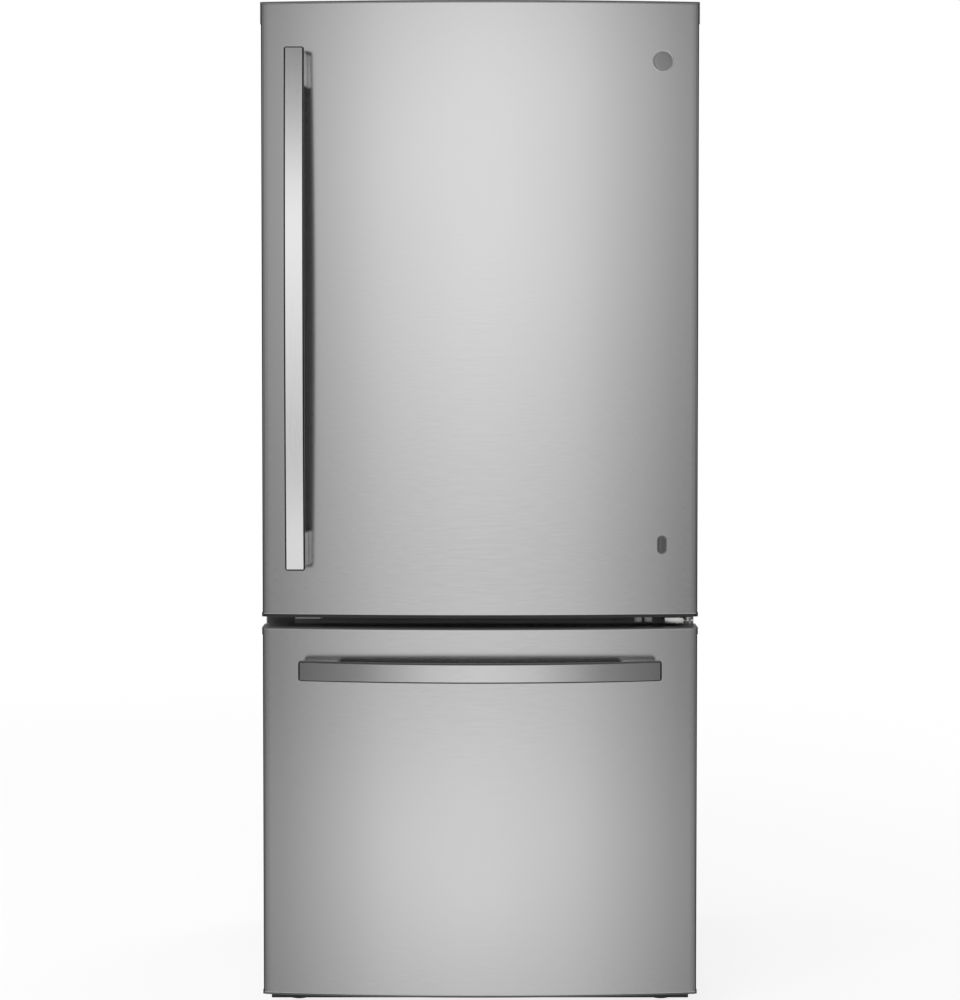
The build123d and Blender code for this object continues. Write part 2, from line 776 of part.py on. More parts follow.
def case_screws():
    screws = [screw_up(x, y, case_top_z + hinge_plate) for x, y in hinge_screw_places()]
    leg_x_middle = (hinge_leg_inner + hinge_leg_outer) / 2
    for z in (rail_centre_z - 22, rail_centre_z + 20):
        screws.append(screw_front(leg_x_middle, case_front_y - 3, z, -1))
    panel_y = back_y - back_panel_recess
    rows = 4
    for row in range(rows):
        z = machine_top_z + 22 + row * (case_top_z - machine_top_z - 44) / (rows - 1)
        screws += pair(screw_front(half_case - 22, panel_y, z, 1))
    cover_y = back_y - machine_cover_recess
    for z in (case_bottom_z + 14, machine_top_z - 12):
        screws += pair(screw_front(half_case - 20, cover_y, z, 1))
    return screws


# Fresh food compartment

def shelf_frame(z):
    """Moulded rim of a shelf, with a rebate for the glass."""
    half = half_cavity - shelf_side_gap
    front, back = shelf_front_y, cavity_back_y - shelf_back_gap
    rim = along_z(panel(-half, half, front, back, 8), z, z + shelf_thickness)
    rim -= block(-half + 18, half - 18, front + 22, back - 20, z, z + shelf_thickness)
    rebate = block(-half + 10, half - 10, front + 14, back - 12, z + shelf_thickness - glass_thickness,
                   z + shelf_thickness)
    return rim - rebate


def shelf_pane(z):
    half = half_cavity - shelf_side_gap - 10
    low = z + shelf_thickness - glass_thickness
    return block(-half, half, shelf_front_y + 14, cavity_back_y - shelf_back_gap - 12, low,
                 low + glass_thickness)


def shelf_arm(z):
    """Tapered cantilever arm under a shelf, with two hooks in the track's slots."""
    front, back = shelf_front_y + 60, cavity_back_y - shelf_back_gap
    hook_y = cavity_back_y - track_depth + 3
    side = Polyline((front, z), (front, z - 9), (back - 40, z - 34), (hook_y - 3.3, z - 40),
                    (hook_y - 3.3, z), close=True)
    arm = along_x(make_face(side), track_x - 1.5, track_x + 1.5)
    for low in (z - 12, z - 36):
        arm += block(track_x - 1.5, track_x + 1.5, hook_y - 4, hook_y + 5, low, low + 7)
    return arm


def shelf_brackets():
    return [pair(shelf_arm(z)) for z in shelf_heights]


def shelf_tracks():
    """Two slotted ladder tracks on the rear wall."""
    front = cavity_back_y - track_depth
    low, high = shelf_heights[0] - 90, fresh_top_z - 30
    track = block(track_x - 9, track_x + 9, front, cavity_back_y, low, high)
    # two slots for each shelf, and spare ones between them
    spare = [z - 88 for z in shelf_heights] + [high - 70]
    for top_slot in list(shelf_heights) + spare:
        for z in (top_slot - 12, top_slot - 36):
            track -= block(track_x - 2, track_x + 2, front, cavity_back_y - 2, z - 0.5, z + 8)
    return pair(track)


def air_duct():
    """Tall duct cover on the rear wall, with outlets for each shelf space."""
    front = cavity_back_y - duct_depth
    low, high = crisper_cover_z + 60, fresh_top_z - 4
    duct = along_y(panel(-duct_half, duct_half, low, high, 16), front, cavity_back_y)
    duct = chamfer(duct.faces().sort_by(Axis.Y)[0].edges(), 9)
    spaces = list(shelf_heights) + [fresh_top_z - 20]
    for z in spaces:
        for x in (-30, 30):
            duct -= block(x - 22, x + 22, front, cavity_back_y - 6, z - 78, z - 62)
    return duct


def control_panel():
    """Temperature control housing at the front of the ceiling, with four blank keys and a fascia."""
    front, back = case_front_y + 72, case_front_y + 172
    top = fresh_top_z
    side = Polyline((front, top), (front, top - 12), (front + 26, top - 30), (back, top - 30),
                    (back, top), close=True)
    housing = along_x(make_face(side), -190, 190)
    keys = []
    slope = math.degrees(math.atan2(18, 26))
    face = Plane(origin=(0, front + 13, top - 21), x_dir=(1, 0, 0),
                 z_dir=(0, -math.sin(math.radians(slope)), -math.cos(math.radians(slope)))).offset(0.02)
    for x in (-105, -75, 75, 105):
        keys.append(extrude(face * slot(22, 10, x), 1.2))
    keys.append(extrude(face * panel(-48, 48, -7.5, 7.5, 3, 2), 0.8))
    return housing, keys


def light_lens():
    """Ribbed diffuser behind the control housing."""
    front, back = case_front_y + 176, case_front_y + 300
    lens = along_z(panel(-150, 150, front, back, 14), fresh_top_z - 12, fresh_top_z)
    lens = chamfer(lens.faces().sort_by(Axis.Z)[0].edges(), 5)
    for row in range(1, 6):
        y = front + row * (back - front) / 6
        lens -= block(-138, 138, y - 1.5, y + 1.5, fresh_top_z - 12, fresh_top_z - 10)
    return lens


def crisper_cover_frame():
    """Frame over the crispers: glass on top, runners for both crispers underneath."""
    half = half_cavity - shelf_side_gap
    z = crisper_cover_z
    front, back = shelf_front_y, cavity_back_y - shelf_back_gap
    rim = along_z(panel(-half, half, front, back, 8), z, z + shelf_thickness)
    rim -= block(-half + 18, -10, front + 22, back - 20, z, z + shelf_thickness)
    rim -= block(10, half - 18, front + 22, back - 20, z, z + shelf_thickness)
    rim -= block(-half + 10, half - 10, front + 14, back - 12, z + shelf_thickness - glass_thickness,
                 z + shelf_thickness)
    # L-shaped runners hold the crispers' side rims
    lip_top = crisper_rim_z - 0.6
    for hanger_x, toward in runner_places():
        x_far = hanger_x + toward * 8
        rim += block(min(hanger_x, hanger_x + toward * 2), max(hanger_x, hanger_x + toward * 2),
                     front + 26, back - 20, lip_top - 2, z)
        rim += block(min(hanger_x, x_far), max(hanger_x, x_far), front + 26, back - 20, lip_top - 2,
                     lip_top)
    return rim


def crisper_sides():
    """Outer side and inner side, across X, of the right-hand crisper's tub."""
    return half_cavity - crisper_side_gap - 2, 12.0


def runner_places():
    outer, inner = crisper_sides()
    gap = 9.5
    return ((outer + gap, -1), (inner - gap, 1), (-outer - gap, 1), (-inner + gap, -1))


def crisper():
    """Right-hand crisper: tapered tub, side rims, and a front with a finger pull."""
    outer, inner = crisper_sides()
    middle = (inner + outer) / 2
    front, back = shelf_front_y + 2, cavity_back_y - shelf_back_gap - 24
    low = fresh_floor_z + crisper_gap
    high = crisper_rim_z + 3
    wall_in = crisper_wall
    tub = stacked([
        (low, panel_points(inner + 6, outer - 6, front + 3, back - 14, 16)),
        (high, panel_points(inner, outer, front + 3, back, 20))])
    hollow = stacked([
        (low + wall_in, panel_points(inner + 6 + wall_in, outer - 6 - wall_in, front + 7,
                                     back - 14 - wall_in, 14)),
        (high, panel_points(inner + wall_in, outer - wall_in, front + 7, back - wall_in, 18))])
    rim = along_z(panel(inner - 6, outer + 6, front + 28, back, 3, 1), crisper_rim_z, high)
    face = along_y(panel(inner - 6, outer + 6, low + 2, high - 2, 10), front, front + 4)
    # a lip over a hollow that fingers reach into from below
    grip = block(middle - 66, middle + 66, front - 6, front + 4, high - 20, high - 6)
    grip = chamfer(grip.faces().sort_by(Axis.Y)[0].edges(), 2)
    pull = block(middle - 62, middle + 62, front - 3, front + 2.5, high - 32, high - 18)
    return tub + rim + face + grip - hollow - pull


# Bins on the door

def bin_outline(grow, radius):
    """Top view of a door bin, grown or shrunk all round except at the rear."""
    back, front = door_rear_y + 1, door_rear_y + bin_reach
    half = half_bin + grow
    outline = panel(-half, half, back - 60, front + grow, radius)
    return outline & Pos(0, back + 100) * Rectangle(900, 200)


def trough(low, high, radius):
    """Base, sides and front of a bin, with a thin rear wall."""
    body = along_z(bin_outline(0, radius), low, high)
    keep = Pos(0, door_rear_y + 3.5 + 100) * Rectangle(900, 200)
    return body - along_z(bin_outline(-bin_wall, radius - bin_wall) & keep, low + bin_wall, high)


def side_pads(low):
    """Pads on a bin's sides, which seat on the ridges of the door liner."""
    x = half_bin
    return pair(block(x - 1, half_dike - dike_width - 0.3, door_rear_y + 8, door_rear_y + 40, low + 20,
                      low + 60))


def door_bin(low, height):
    high = low + height
    body = trough(low, high, 26)
    # the rear wall is low, because the back of the door closes the bin
    body -= block(-half_bin + 24, half_bin - 24, door_rear_y, door_rear_y + 4, low + height * 0.45, high)
    band = along_z(bin_outline(2, 28) - bin_outline(-1, 25), high - 12, high - 3)
    body += band & block(-half_bin, half_bin, door_rear_y + 50, 0, low, high)
    for pad in side_pads(low):
        body += pad
    return body


def door_bins():
    return [door_bin(low, height) for low, height in zip(bin_bases, bin_heights)]


def cheek_profile():
    """Side view of a cheek: straight back, round front."""
    back, front = door_rear_y + 1, door_rear_y + bin_reach - 4
    top, waist = dairy_hinge_z + 8, dairy_base_z + dairy_height
    arc = ThreePointArc((dairy_hinge_y + 40, top), (dairy_hinge_y + 72, dairy_hinge_z - 10), (front, waist))
    lines = Polyline((front, waist), (front, waist - 10), (back, waist - 10), (back, top),
                     (dairy_hinge_y + 40, top))
    return make_face(arc.edges() + lines.edges())


def dairy_bin():
    """Dairy compartment: trough with two cheeks that hold the lid's pins."""
    low, waist = dairy_base_z, dairy_base_z + dairy_height
    body = trough(low, waist, 6)
    cheek = along_x(cheek_profile(), half_bin - bin_wall, half_bin)
    cheek -= bore_x(lid_pin_radius, half_bin - bin_wall, half_bin, dairy_hinge_y, dairy_hinge_z)
    for piece in pair(cheek) + side_pads(low):
        body += piece
    return body


def dairy_lid():
    """Curved lid between the cheeks, turning on two moulded pins at its rear."""
    half = half_bin - bin_wall - 0.6
    py, pz = dairy_hinge_y, dairy_hinge_z
    front = door_rear_y + bin_reach - 2
    waist = dairy_base_z + dairy_height + 0.6
    outer = ThreePointArc((py + 46, pz + 3), (py + 75, pz - 13), (front, waist))
    inner = ThreePointArc((py + 46, pz + 0.8), (py + 73.3, pz - 14.5), (front - 2.2, waist))
    lines = [Line((py, pz + 3), (py + 46, pz + 3)), Line((py, pz + 0.8), (py + 46, pz + 0.8)),
             Line((py, pz + 3), (py, pz + 0.8)), Line((front, waist), (front - 2.2, waist))]
    lid = along_x(make_face(outer.edges() + inner.edges() + lines), -half, half)
    lid += rod_x(4.5, -half, half, py, pz)
    lid += rod_x(lid_pin_radius, -half_bin, half_bin, py, pz)
    tab = block(-40, 40, front - 2.2, front + 5, waist, waist + 3)
    return lid + tab


# Freezer drawer

def rail_channel(depth_start, depth_end, height, front, back):
    """C-shaped rail on the right wall, open towards the drawer."""
    outer = half_cavity - depth_start
    inner = half_cavity - depth_end
    rail = block(inner, outer, front, back, rail_z - height / 2, rail_z + height / 2)
    return rail - block(inner, outer - rail_sheet, front, back, rail_z - height / 2 + rail_sheet,
                        rail_z + height / 2 - rail_sheet)


def freezer_rails_outer():
    """Fixed rail members, and the ledges that the upper basket slides on."""
    front = case_front_y + rail_setback
    rail = rail_channel(0, rail_depth, rail_size, front, front + rail_length)
    ledge = along_y(make_face(Polyline(
        (half_cavity, ledge_z), (half_cavity - ledge_width, ledge_z),
        (half_cavity - ledge_width, ledge_z - 3), (half_cavity, ledge_z - 12), close=True)),
        front + 20, evaporator_cover_y - 6)
    return pair(rail), pair(ledge)


def drawer_rails_middle():
    """Middle members, which run inside the fixed ones at half the drawer's speed."""
    start = rail_sheet + rail_clear
    front = case_front_y + rail_setback - 2
    rail = rail_channel(start, rail_depth - 0.6, rail_size - 2 * start, front, front + rail_length - 6)
    return pair(rail)


def drawer_rails_inner():
    """Inner members with the drawer front's brackets and the shelf that carries the lower basket."""
    height = rail_size - 4 * (rail_sheet + rail_clear)
    x_far = half_cavity - 2 * (rail_sheet + rail_clear)
    x_near = half_cavity - rail_depth - 2
    front, back = door_rear_y - door_sheet, case_front_y + rail_length - 8
    rail = block(x_near, x_far, case_front_y + 2, back, rail_z - height / 2, rail_z + height / 2)
    rail -= block(x_near + rail_sheet, x_far, case_front_y + 2, back, rail_z - height / 2 + rail_sheet,
                  rail_z + height / 2 - rail_sheet)
    top = basket_rim_z - 0.3
    riser = block(x_near - 1, x_near + 1, front, back, rail_z - height / 2, top)
    shelf = block(x_near - 10, x_near + 1, front + 24, back, top - 2, top)
    foot = block(x_near - 24, x_near + 1, front, front + 2.5, rail_z - 52, rail_z + 52)
    gusset = along_x(make_face(Polyline((front, rail_z - 50), (front + 60, rail_z - 14),
                                        (front + 60, rail_z), (front, rail_z), close=True)),
                     x_near - 1, x_near + 1)
    return pair(rail + riser + shelf + foot + gusset)


def basket_outline(half, front, back, inset, radius):
    return panel_points(-half + inset, half - inset, front + inset, back - inset, radius)


def basket(half, front, back, low, high, rim, slot_rows, slot_columns):
    """Open basket with drafted walls, a flanged rim and slots through its front and rear."""
    draft = 8
    thick = draft + basket_wall
    outer = stacked([(low, basket_outline(half, front, back, draft, 22)),
                     (high, basket_outline(half, front, back, 0, 26))])
    inner = stacked([(low + basket_wall, basket_outline(half, front, back, thick, 19)),
                     (high, basket_outline(half, front, back, basket_wall, 23))])
    lip = along_z(panel(-half - rim, half + rim, front - 2, back + 2, 10), high - 3, high)
    body = outer + lip - inner
    pitch = (2 * half - 90) / slot_columns
    tall = (high - low - 54) / slot_rows
    for row in range(slot_rows):
        z = low + 24 + (row + 0.5) * tall
        for column in range(slot_columns):
            x = -half + 45 + (column + 0.5) * pitch
            body -= block(x - pitch * 0.27, x + pitch * 0.27, front - 5, back + 5, z - tall * 0.38,
                          z + tall * 0.38)
    return body


def lower_basket():
    front, back = door_rear_y + 26, step_y - 14
    half = half_cavity - rail_depth - 16
    high = basket_rim_z + 3
    return basket(half, front, back, high - lower_basket_depth, high, 9, 2, 6)


def upper_basket():
    """Shallow basket with side flanges that rest on the liner's ledges."""
    front, back = case_front_y + 20, evaporator_cover_y - 12
    half = half_cavity - ledge_width - 4
    high = ledge_z + 3.4
    return basket(half, front, back, high - upper_basket_height, high, ledge_width - 2, 1, 6)


# Cooling system

def serpentine(length, pitch, passes, radius):
    """Six-sided tube in the XY plane: straight passes along X, joined by bends of three flats."""
    points = []
    for row in range(passes):
        toward = 1 if row % 2 == 0 else -1
        points.append((toward * -length / 2, row * pitch))
        points.append((toward * length / 2, row * pitch))
        if row < passes - 1:
            for share in (0.25, 0.75):
                points.append((toward * (length / 2 + pitch * 0.43), (row + share) * pitch))
    path = Polyline(*points)
    section = Plane(origin=path @ 0, z_dir=path % 0) * RegularPolygon(radius, 6)
    return sweep(section, path=path, transition=Transition.RIGHT)


def blade(radius, hub_radius, middle):
    """One fan blade along Z: four stations from root to tip, each turned less than the one below."""
    stations = []
    for share, chord, pitch in ((0.0, 0.30, 52), (0.33, 0.40, 42), (0.67, 0.49, 33), (1.0, 0.54, 26)):
        turn = math.radians(pitch)
        corners = []
        for along, across in ((-1, -0.9), (1, -0.9), (1, 0.9), (-1, 0.9)):
            x = along * chord * radius / 2
            corners.append((x * math.cos(turn) - across * math.sin(turn),
                            middle + x * math.sin(turn) + across * math.cos(turn)))
        stations.append((hub_radius - 2 + share * (radius - hub_radius + 2), corners))
    return stacked(stations, twisted=True)


def fan(radius, hub_radius, hub_length, blades):
    """Axial fan along Y: a bored hub and blades that twist from root to tip."""
    face, nose = ring_points(hub_radius, 20), ring_points(hub_radius - 1.5, 20)
    whole = Rot(-90, 0, 0) * stacked([(0, nose), (1.5, face), (hub_length, face)])
    one = blade(radius, hub_radius, hub_length / 2)
    for turn in range(blades):
        whole += one.rotate(Axis.Y, turn * 360 / blades)
    return whole - along_y(bore(fan_shaft_radius), -1, hub_length + 1)


def evaporator():
    """Two tube planes with fins between them."""
    length, pitch, passes, radius = 440, 27, 5, 4
    front = evaporator_cover_y + 14
    rear = front + 36
    low = step_z + 14
    coil = serpentine(length, pitch, passes, radius)
    tubes = [Pos(0, y, low) * Rot(90, 0, 0) * coil for y in (front, rear)]
    fins = []
    count = 14
    for index in range(count):
        x = -length / 2 + 10 + index * (length - 20) / (count - 1)
        fins.append(block(x - 0.5, x + 0.5, front + radius + 0.1, rear - radius - 0.1, low - 6,
                          low + (passes - 1) * pitch + 6))
    # two brackets carry the coil on the rear wall
    brackets = [block(x - 8, x + 8, rear + radius + 0.1, cavity_back_y, low, low + 60)
                for x in (-170, 170)]
    return tubes, fins, brackets


def evaporator_cover():
    """Moulded cover of the evaporator, with the fan's grille and the struts of its motor."""
    y0, y1 = evaporator_cover_y, evaporator_cover_y + 3
    cover = along_y(panel(-half_cavity + 0.4, half_cavity - 0.4, step_z + 0.4, freezer_top_z - 0.4, 19),
                    y0, y1)
    # slats across a round opening
    rows = 7
    for row in range(rows):
        z = (row - (rows - 1) / 2) * 2 * fan_radius / rows
        half = math.sqrt(fan_radius ** 2 - z ** 2)
        for x0, x1 in ((-half, -2), (2, half)):
            cover -= block(x0, x1, y0, y1, evaporator_fan_z + z - 5, evaporator_fan_z + z + 5)
    for x in (-220, -140, 140, 220):
        cover -= block(x - 30, x + 30, y0, y1, evaporator_fan_z - 4.5, evaporator_fan_z + 4.5)
    motor_y = y1 + 27
    cover += rod_y(20, motor_y, motor_y + 24, 0, evaporator_fan_z, 20)
    cover += rod_y(fan_shaft_radius, y1 + 2, motor_y, 0, evaporator_fan_z)
    for angle in (30, 150, 270):
        reach = fan_radius + 6
        x = reach * math.cos(math.radians(angle))
        z = evaporator_fan_z + reach * math.sin(math.radians(angle))
        cover += rod_y(4, y1, motor_y + 10, x, z, 8)
        strut = Pos(x / 2, (z + evaporator_fan_z) / 2) * Rot(0, 0, angle) * Rectangle(reach, 6)
        cover += along_y(strut, motor_y + 8, motor_y + 11)
    return cover


def evaporator_fan():
    y = evaporator_cover_y + 7
    return Pos(0, y, evaporator_fan_z) * fan(fan_radius, 12, 18, 5)


def compressor():
    """Hermetic compressor: welded two-part shell on a plate with rubber feet, terminal box beside it."""
    r, low = compressor_radius, pan_z + 22
    waist, top = low + 92, low + 160
    sides = 20
    profile = ((0.42, low), (0.82, low + 11), (1.0, low + 38), (1.0, top - 44), (0.95, top - 25),
               (0.78, top - 9), (0.42, top))
    shell = stacked([(z, ring_points(share * r, sides)) for share, z in profile])
    seam = rod_z(r + 3, waist, waist + 5, 0, 0, sides)
    plate = along_z(panel(-96, 96, -58, 58, 12), low - 8, low - 5)
    saddle = rod_z(44, low - 5, low + 6, 0, 0, sides)
    box = block(r - 10, r + 20, -24, 24, low + 40, low + 92)
    box = chamfer(box.faces().sort_by(Axis.X)[-1].edges(), 4)
    stub = rod_z(5, top - 30, top + 14, r * 0.6, 0, 10)
    whole = Pos(compressor_x, machine_mid_y, 0) * (shell + seam + plate + saddle + box + stub)
    feet = [rod_z(9, pan_z + 2, low - 8, compressor_x + x, machine_mid_y + y, 12)
            for x in (-82, 82) for y in (-46, 46)]
    return whole, feet


def condenser_coil():
    """Folded wire-on-tube condenser: three tube planes, with wires across each."""
    length, pitch, passes, radius = condenser_length, 30, 5, 3.2
    low = pan_z + 34
    coil = serpentine(length, pitch, passes, radius)
    tubes, wires = [], []
    planes = [machine_mid_y + row * plane_pitch for row in (-1, 0, 1)]
    for y in planes:
        tubes.append(Pos(condenser_x, y, low) * Rot(90, 0, 0) * coil)
        for index in range(6):
            x = condenser_x - length / 2 + 8 + index * (length - 16) / 5
            wires.append(block(x - 0.8, x + 0.8, y + radius + 0.1, y + radius + 1.7, low - 8,
                               low + (passes - 1) * pitch + 8))
    # two end plates hold the planes together
    end_low, end_high = pan_z + 2, low + (passes - 1) * pitch + 12
    for x in (condenser_x - length / 2 + 16, condenser_x + length / 2 - 16):
        for y in planes[:2]:
            wires.append(block(x - 1, x + 1, y + radius + 0.1, y + plane_pitch - radius - 0.1, end_low,
                               end_high))
    return tubes, wires


def drain_pan():
    """Shallow tray under the condenser, where the defrost water evaporates."""
    low = pan_z + 2.4
    x0, x1 = condenser_x - condenser_length / 2 + 20, condenser_x + condenser_length / 2 - 20
    y0, y1 = machine_mid_y - 70, machine_mid_y + 70
    tray = along_z(panel(x0, x1, y0, y1, 14), low, low + 16)
    tray -= along_z(panel(x0 + 2, x1 - 2, y0 + 2, y1 - 2, 12), low + 2, low + 16)
    return tray


def condenser_fan_motor():
    """Shroud plate across the compartment, with the motor on three struts."""
    x = shroud_x
    plate = along_x(panel(machine_mid_y - 78, machine_mid_y + 78, pan_z + 2, condenser_fan_z + 84, 6)
                    - Pos(machine_mid_y, condenser_fan_z)
                    * RegularPolygon(condenser_fan_radius + 5, 24), x, x + 2)
    motor = rod_x(21, x - 62, x - 32, machine_mid_y, condenser_fan_z, 20)
    motor += rod_x(fan_shaft_radius, x - 32, x - 2, machine_mid_y, condenser_fan_z)
    reach = condenser_fan_radius + 10
    for angle in (90, 210, 330):
        y = machine_mid_y + reach * math.cos(math.radians(angle))
        z = condenser_fan_z + reach * math.sin(math.radians(angle))
        motor += rod_x(4, x - 50, x, y, z, 8)
        strut = Pos((y + machine_mid_y) / 2, (z + condenser_fan_z) / 2) * Rot(0, 0, angle) * Rectangle(
            reach, 7)
        motor += along_x(strut, x - 50, x - 47)
    return plate + motor


def condenser_fan():
    blades = fan(condenser_fan_radius, 13, 20, 5)
    return Pos(shroud_x - 26, machine_mid_y, condenser_fan_z) * Rot(0, 0, -90) * blades


def machine_cover():
    """Rear cover of the machine compartment, with louvres and the cord's inlet bushing."""
    y1 = back_y - machine_cover_recess
    half = half_case - case_sheet - 0.3
    low, high = case_bottom_z + 1, machine_top_z - 0.3
    cover = along_y(panel(-half, half, low, high, 5), y1 - 1.2, y1)
    rows, columns = 5, 3
    for column in range(columns):
        x = (column - 1) * 190
        for row in range(rows):
            z = low + 60 + row * 30
            cover -= block(x - 65, x + 65, y1 - 1.2, y1, z - 4, z + 4)
    bushing = rod_y(11, y1 - 6, y1 + 5, inlet_x, inlet_z)
    return cover + bushing - rod_y(4.5, y1 - 6, y1 + 5, inlet_x, inlet_z)


def build_root():
    save("outer_case", outer_case())
    save("back_panel", back_panel())
    save("cabinet_insulation", cabinet_insulation())
    save("fresh_food_liner", fresh_food_liner())
    save("freezer_liner", freezer_liner())
    save("center_rail", center_rail())
    save("top_hinge", top_hinge())
    save("top_hinge_cover", top_hinge_cover())
    save("center_hinge", center_hinge())
    save("case_screws", case_screws())
    save("base_grille", base_grille())
    save("base_rails", base_rails())
    save("compressor", compressor())
    save("condenser_coil", condenser_coil())
    save("condenser_fan_motor", condenser_fan_motor())
    save("drain_pan", drain_pan())
    save("machine_cover", machine_cover())
    save("evaporator", evaporator())
    save("evaporator_cover", evaporator_cover())
    save("air_duct", air_duct())
    save("control_panel", control_panel())
    save("light_lens", light_lens())
    save("shelf_tracks", shelf_tracks())
    save("shelf_brackets", shelf_brackets())
    save("shelf_frames", [shelf_frame(z) for z in shelf_heights], crisper_cover_frame())
    save("shelf_glass", [shelf_pane(z) for z in shelf_heights], shelf_pane(crisper_cover_z))
    save("freezer_rails_outer", freezer_rails_outer())


def build_door():
    low, high = upper_bottom_z, door_top_z
    cutters = [top_cap_bulk(), bottom_cap_bulk(), hinge_pocket()]
    save("door_skin", front_skin(low, high, *cutters))
    save("door_top_cap", door_top_cap())
    save("door_bottom_cap", door_bottom_cap())
    save("door_insulation", front_foam(low, high, cutters, *door_ridge()))
    save("door_liner", front_liner(low, high, *door_ridge()) - hinge_pocket())
    save("door_gasket", gasket(fresh_floor_z, fresh_top_z))
    save("door_handle_bar", door_grip())
    save("door_handle_mounts", door_standoffs())
    save("front_badges", front_badges())
    save("door_stop", door_stop())
    save("door_bins", door_bins())
    save("dairy_bin", dairy_bin())
    save("dairy_lid", dairy_lid())


def build_drawer():
    low, high = door_bottom_z, drawer_top_z
    caps = [drawer_top_cap(), drawer_bottom_cap()]
    save("drawer_skin", front_skin(low, high, *caps))
    save("drawer_top_cap", caps[0])
    save("drawer_bottom_cap", caps[1])
    save("drawer_insulation", front_foam(low, high, caps, *drawer_ridge()))
    save("drawer_liner", front_liner(low, high, *drawer_ridge()))
    save("drawer_gasket", gasket(freezer_floor_z, freezer_top_z))
    save("drawer_handle_bar", drawer_grip())
    save("drawer_handle_mounts", drawer_standoffs())
    save("drawer_rails_inner", drawer_rails_inner())
    save("drawer_rails_middle", drawer_rails_middle())
    save("lower_basket", lower_basket())
    save("upper_basket", upper_basket())


def build_moving():
    right = crisper()
    save("crisper_right", right)
    save("crisper_left", mirror(right, Plane.YZ))
    save("front_rollers", pair(roller(front_axle)))
    save("rear_rollers", pair(roller(rear_axle)))
    leg = leveling_leg()
    save("leg_right", leg)
    save("leg_left", mirror(leg, Plane.YZ))
    save("condenser_fan", condenser_fan())
    save("evaporator_fan", evaporator_fan())


os.makedirs("parts", exist_ok=True)
build_root()
build_door()
build_drawer()
build_moving()
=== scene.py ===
import json
import math

import bmesh
import bpy
from mathutils import Matrix, Vector


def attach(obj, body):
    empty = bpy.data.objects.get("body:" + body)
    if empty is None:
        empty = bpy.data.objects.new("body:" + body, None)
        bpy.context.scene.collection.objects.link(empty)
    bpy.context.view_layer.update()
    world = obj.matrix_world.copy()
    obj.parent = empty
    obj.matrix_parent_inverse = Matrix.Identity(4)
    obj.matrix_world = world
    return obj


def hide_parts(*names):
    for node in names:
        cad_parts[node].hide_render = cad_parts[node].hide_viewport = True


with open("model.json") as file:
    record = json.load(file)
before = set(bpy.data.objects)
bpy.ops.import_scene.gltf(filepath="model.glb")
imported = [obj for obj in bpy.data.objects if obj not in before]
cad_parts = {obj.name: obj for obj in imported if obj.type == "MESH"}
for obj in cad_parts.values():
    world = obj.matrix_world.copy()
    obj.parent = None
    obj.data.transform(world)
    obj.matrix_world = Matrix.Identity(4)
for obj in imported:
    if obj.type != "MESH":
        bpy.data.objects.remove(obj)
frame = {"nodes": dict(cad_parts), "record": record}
nodes = frame["nodes"]
bodies = frame["record"]["behaviour"]["bodies"]
bodyOf = {node: body for body, members in bodies.items() for node in members}
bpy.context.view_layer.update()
print("frame loaded,", len(nodes), "nodes")


def placed(name, data):
    # a new object in the scene, at the origin
    made = bpy.data.objects.new(name, data)
    bpy.context.scene.collection.objects.link(made)
    return made


# the tree writers that materials, the world and the shapes share

class Wire:
    # a socket that can be written in sums
    def __init__(self, maker, socket):
        self.maker, self.socket = maker, socket

    def __add__(self, other):
        return self.maker.join("ADD", self, other)

    def __sub__(self, other):
        return self.maker.join("SUBTRACT", self, other)

    def __rsub__(self, other):
        return self.maker.join("SUBTRACT", other, self)

    def __mul__(self, other):
        return self.maker.join("MULTIPLY", self, other)

    def __truediv__(self, other):
        return self.maker.join("DIVIDE", self, other)

    __radd__ = __add__
    __rmul__ = __mul__


class Maker:
    # adds nodes to self.tree one call at a time
    def feed(self, socket, value):
        if isinstance(value, Wire):
            self.tree.links.new(value.socket, socket)
        elif hasattr(value, "__len__") and not isinstance(value, str):
            socket.default_value = (tuple(value) + (1.0,))[:len(socket.default_value)]
        else:
            socket.default_value = value

    def node(self, kind, inputs=None, out=0, **settings):
        made = self.tree.nodes.new(kind)
        for name, value in settings.items():
            setattr(made, name, value)
        for name, value in (inputs or {}).items():
            self.feed(made.inputs[name], value)
        return Wire(self, made.outputs[out])

    def join(self, operation, *values):
        return self.node("ShaderNodeMath", dict(enumerate(values)), operation=operation)

    def between(self, value, low, high, toLow=0.0, toHigh=1.0):
        return self.node("ShaderNodeMapRange", {"Value": value, "From Min": low, "From Max": high,
                                                "To Min": toLow, "To Max": toHigh},
                         interpolation_type="SMOOTHSTEP")

    def ramp(self, value, stops):
        # greys at places from 0 to 1, with eased steps
        made = self.node("ShaderNodeValToRGB", {"Fac": value})
        colours = made.socket.node.color_ramp
        colours.interpolation = "EASE"
        while len(colours.elements) < len(stops):
            colours.elements.new(0.5)
        for element, (place, shade) in zip(colours.elements, stops):
            element.position = place
            element.color = (shade, shade, shade, 1.0)
        return made

    def mix(self, factor, first, second):
        return self.node("ShaderNodeMix", {0: factor, 6: first, 7: second}, out=2, data_type="RGBA")


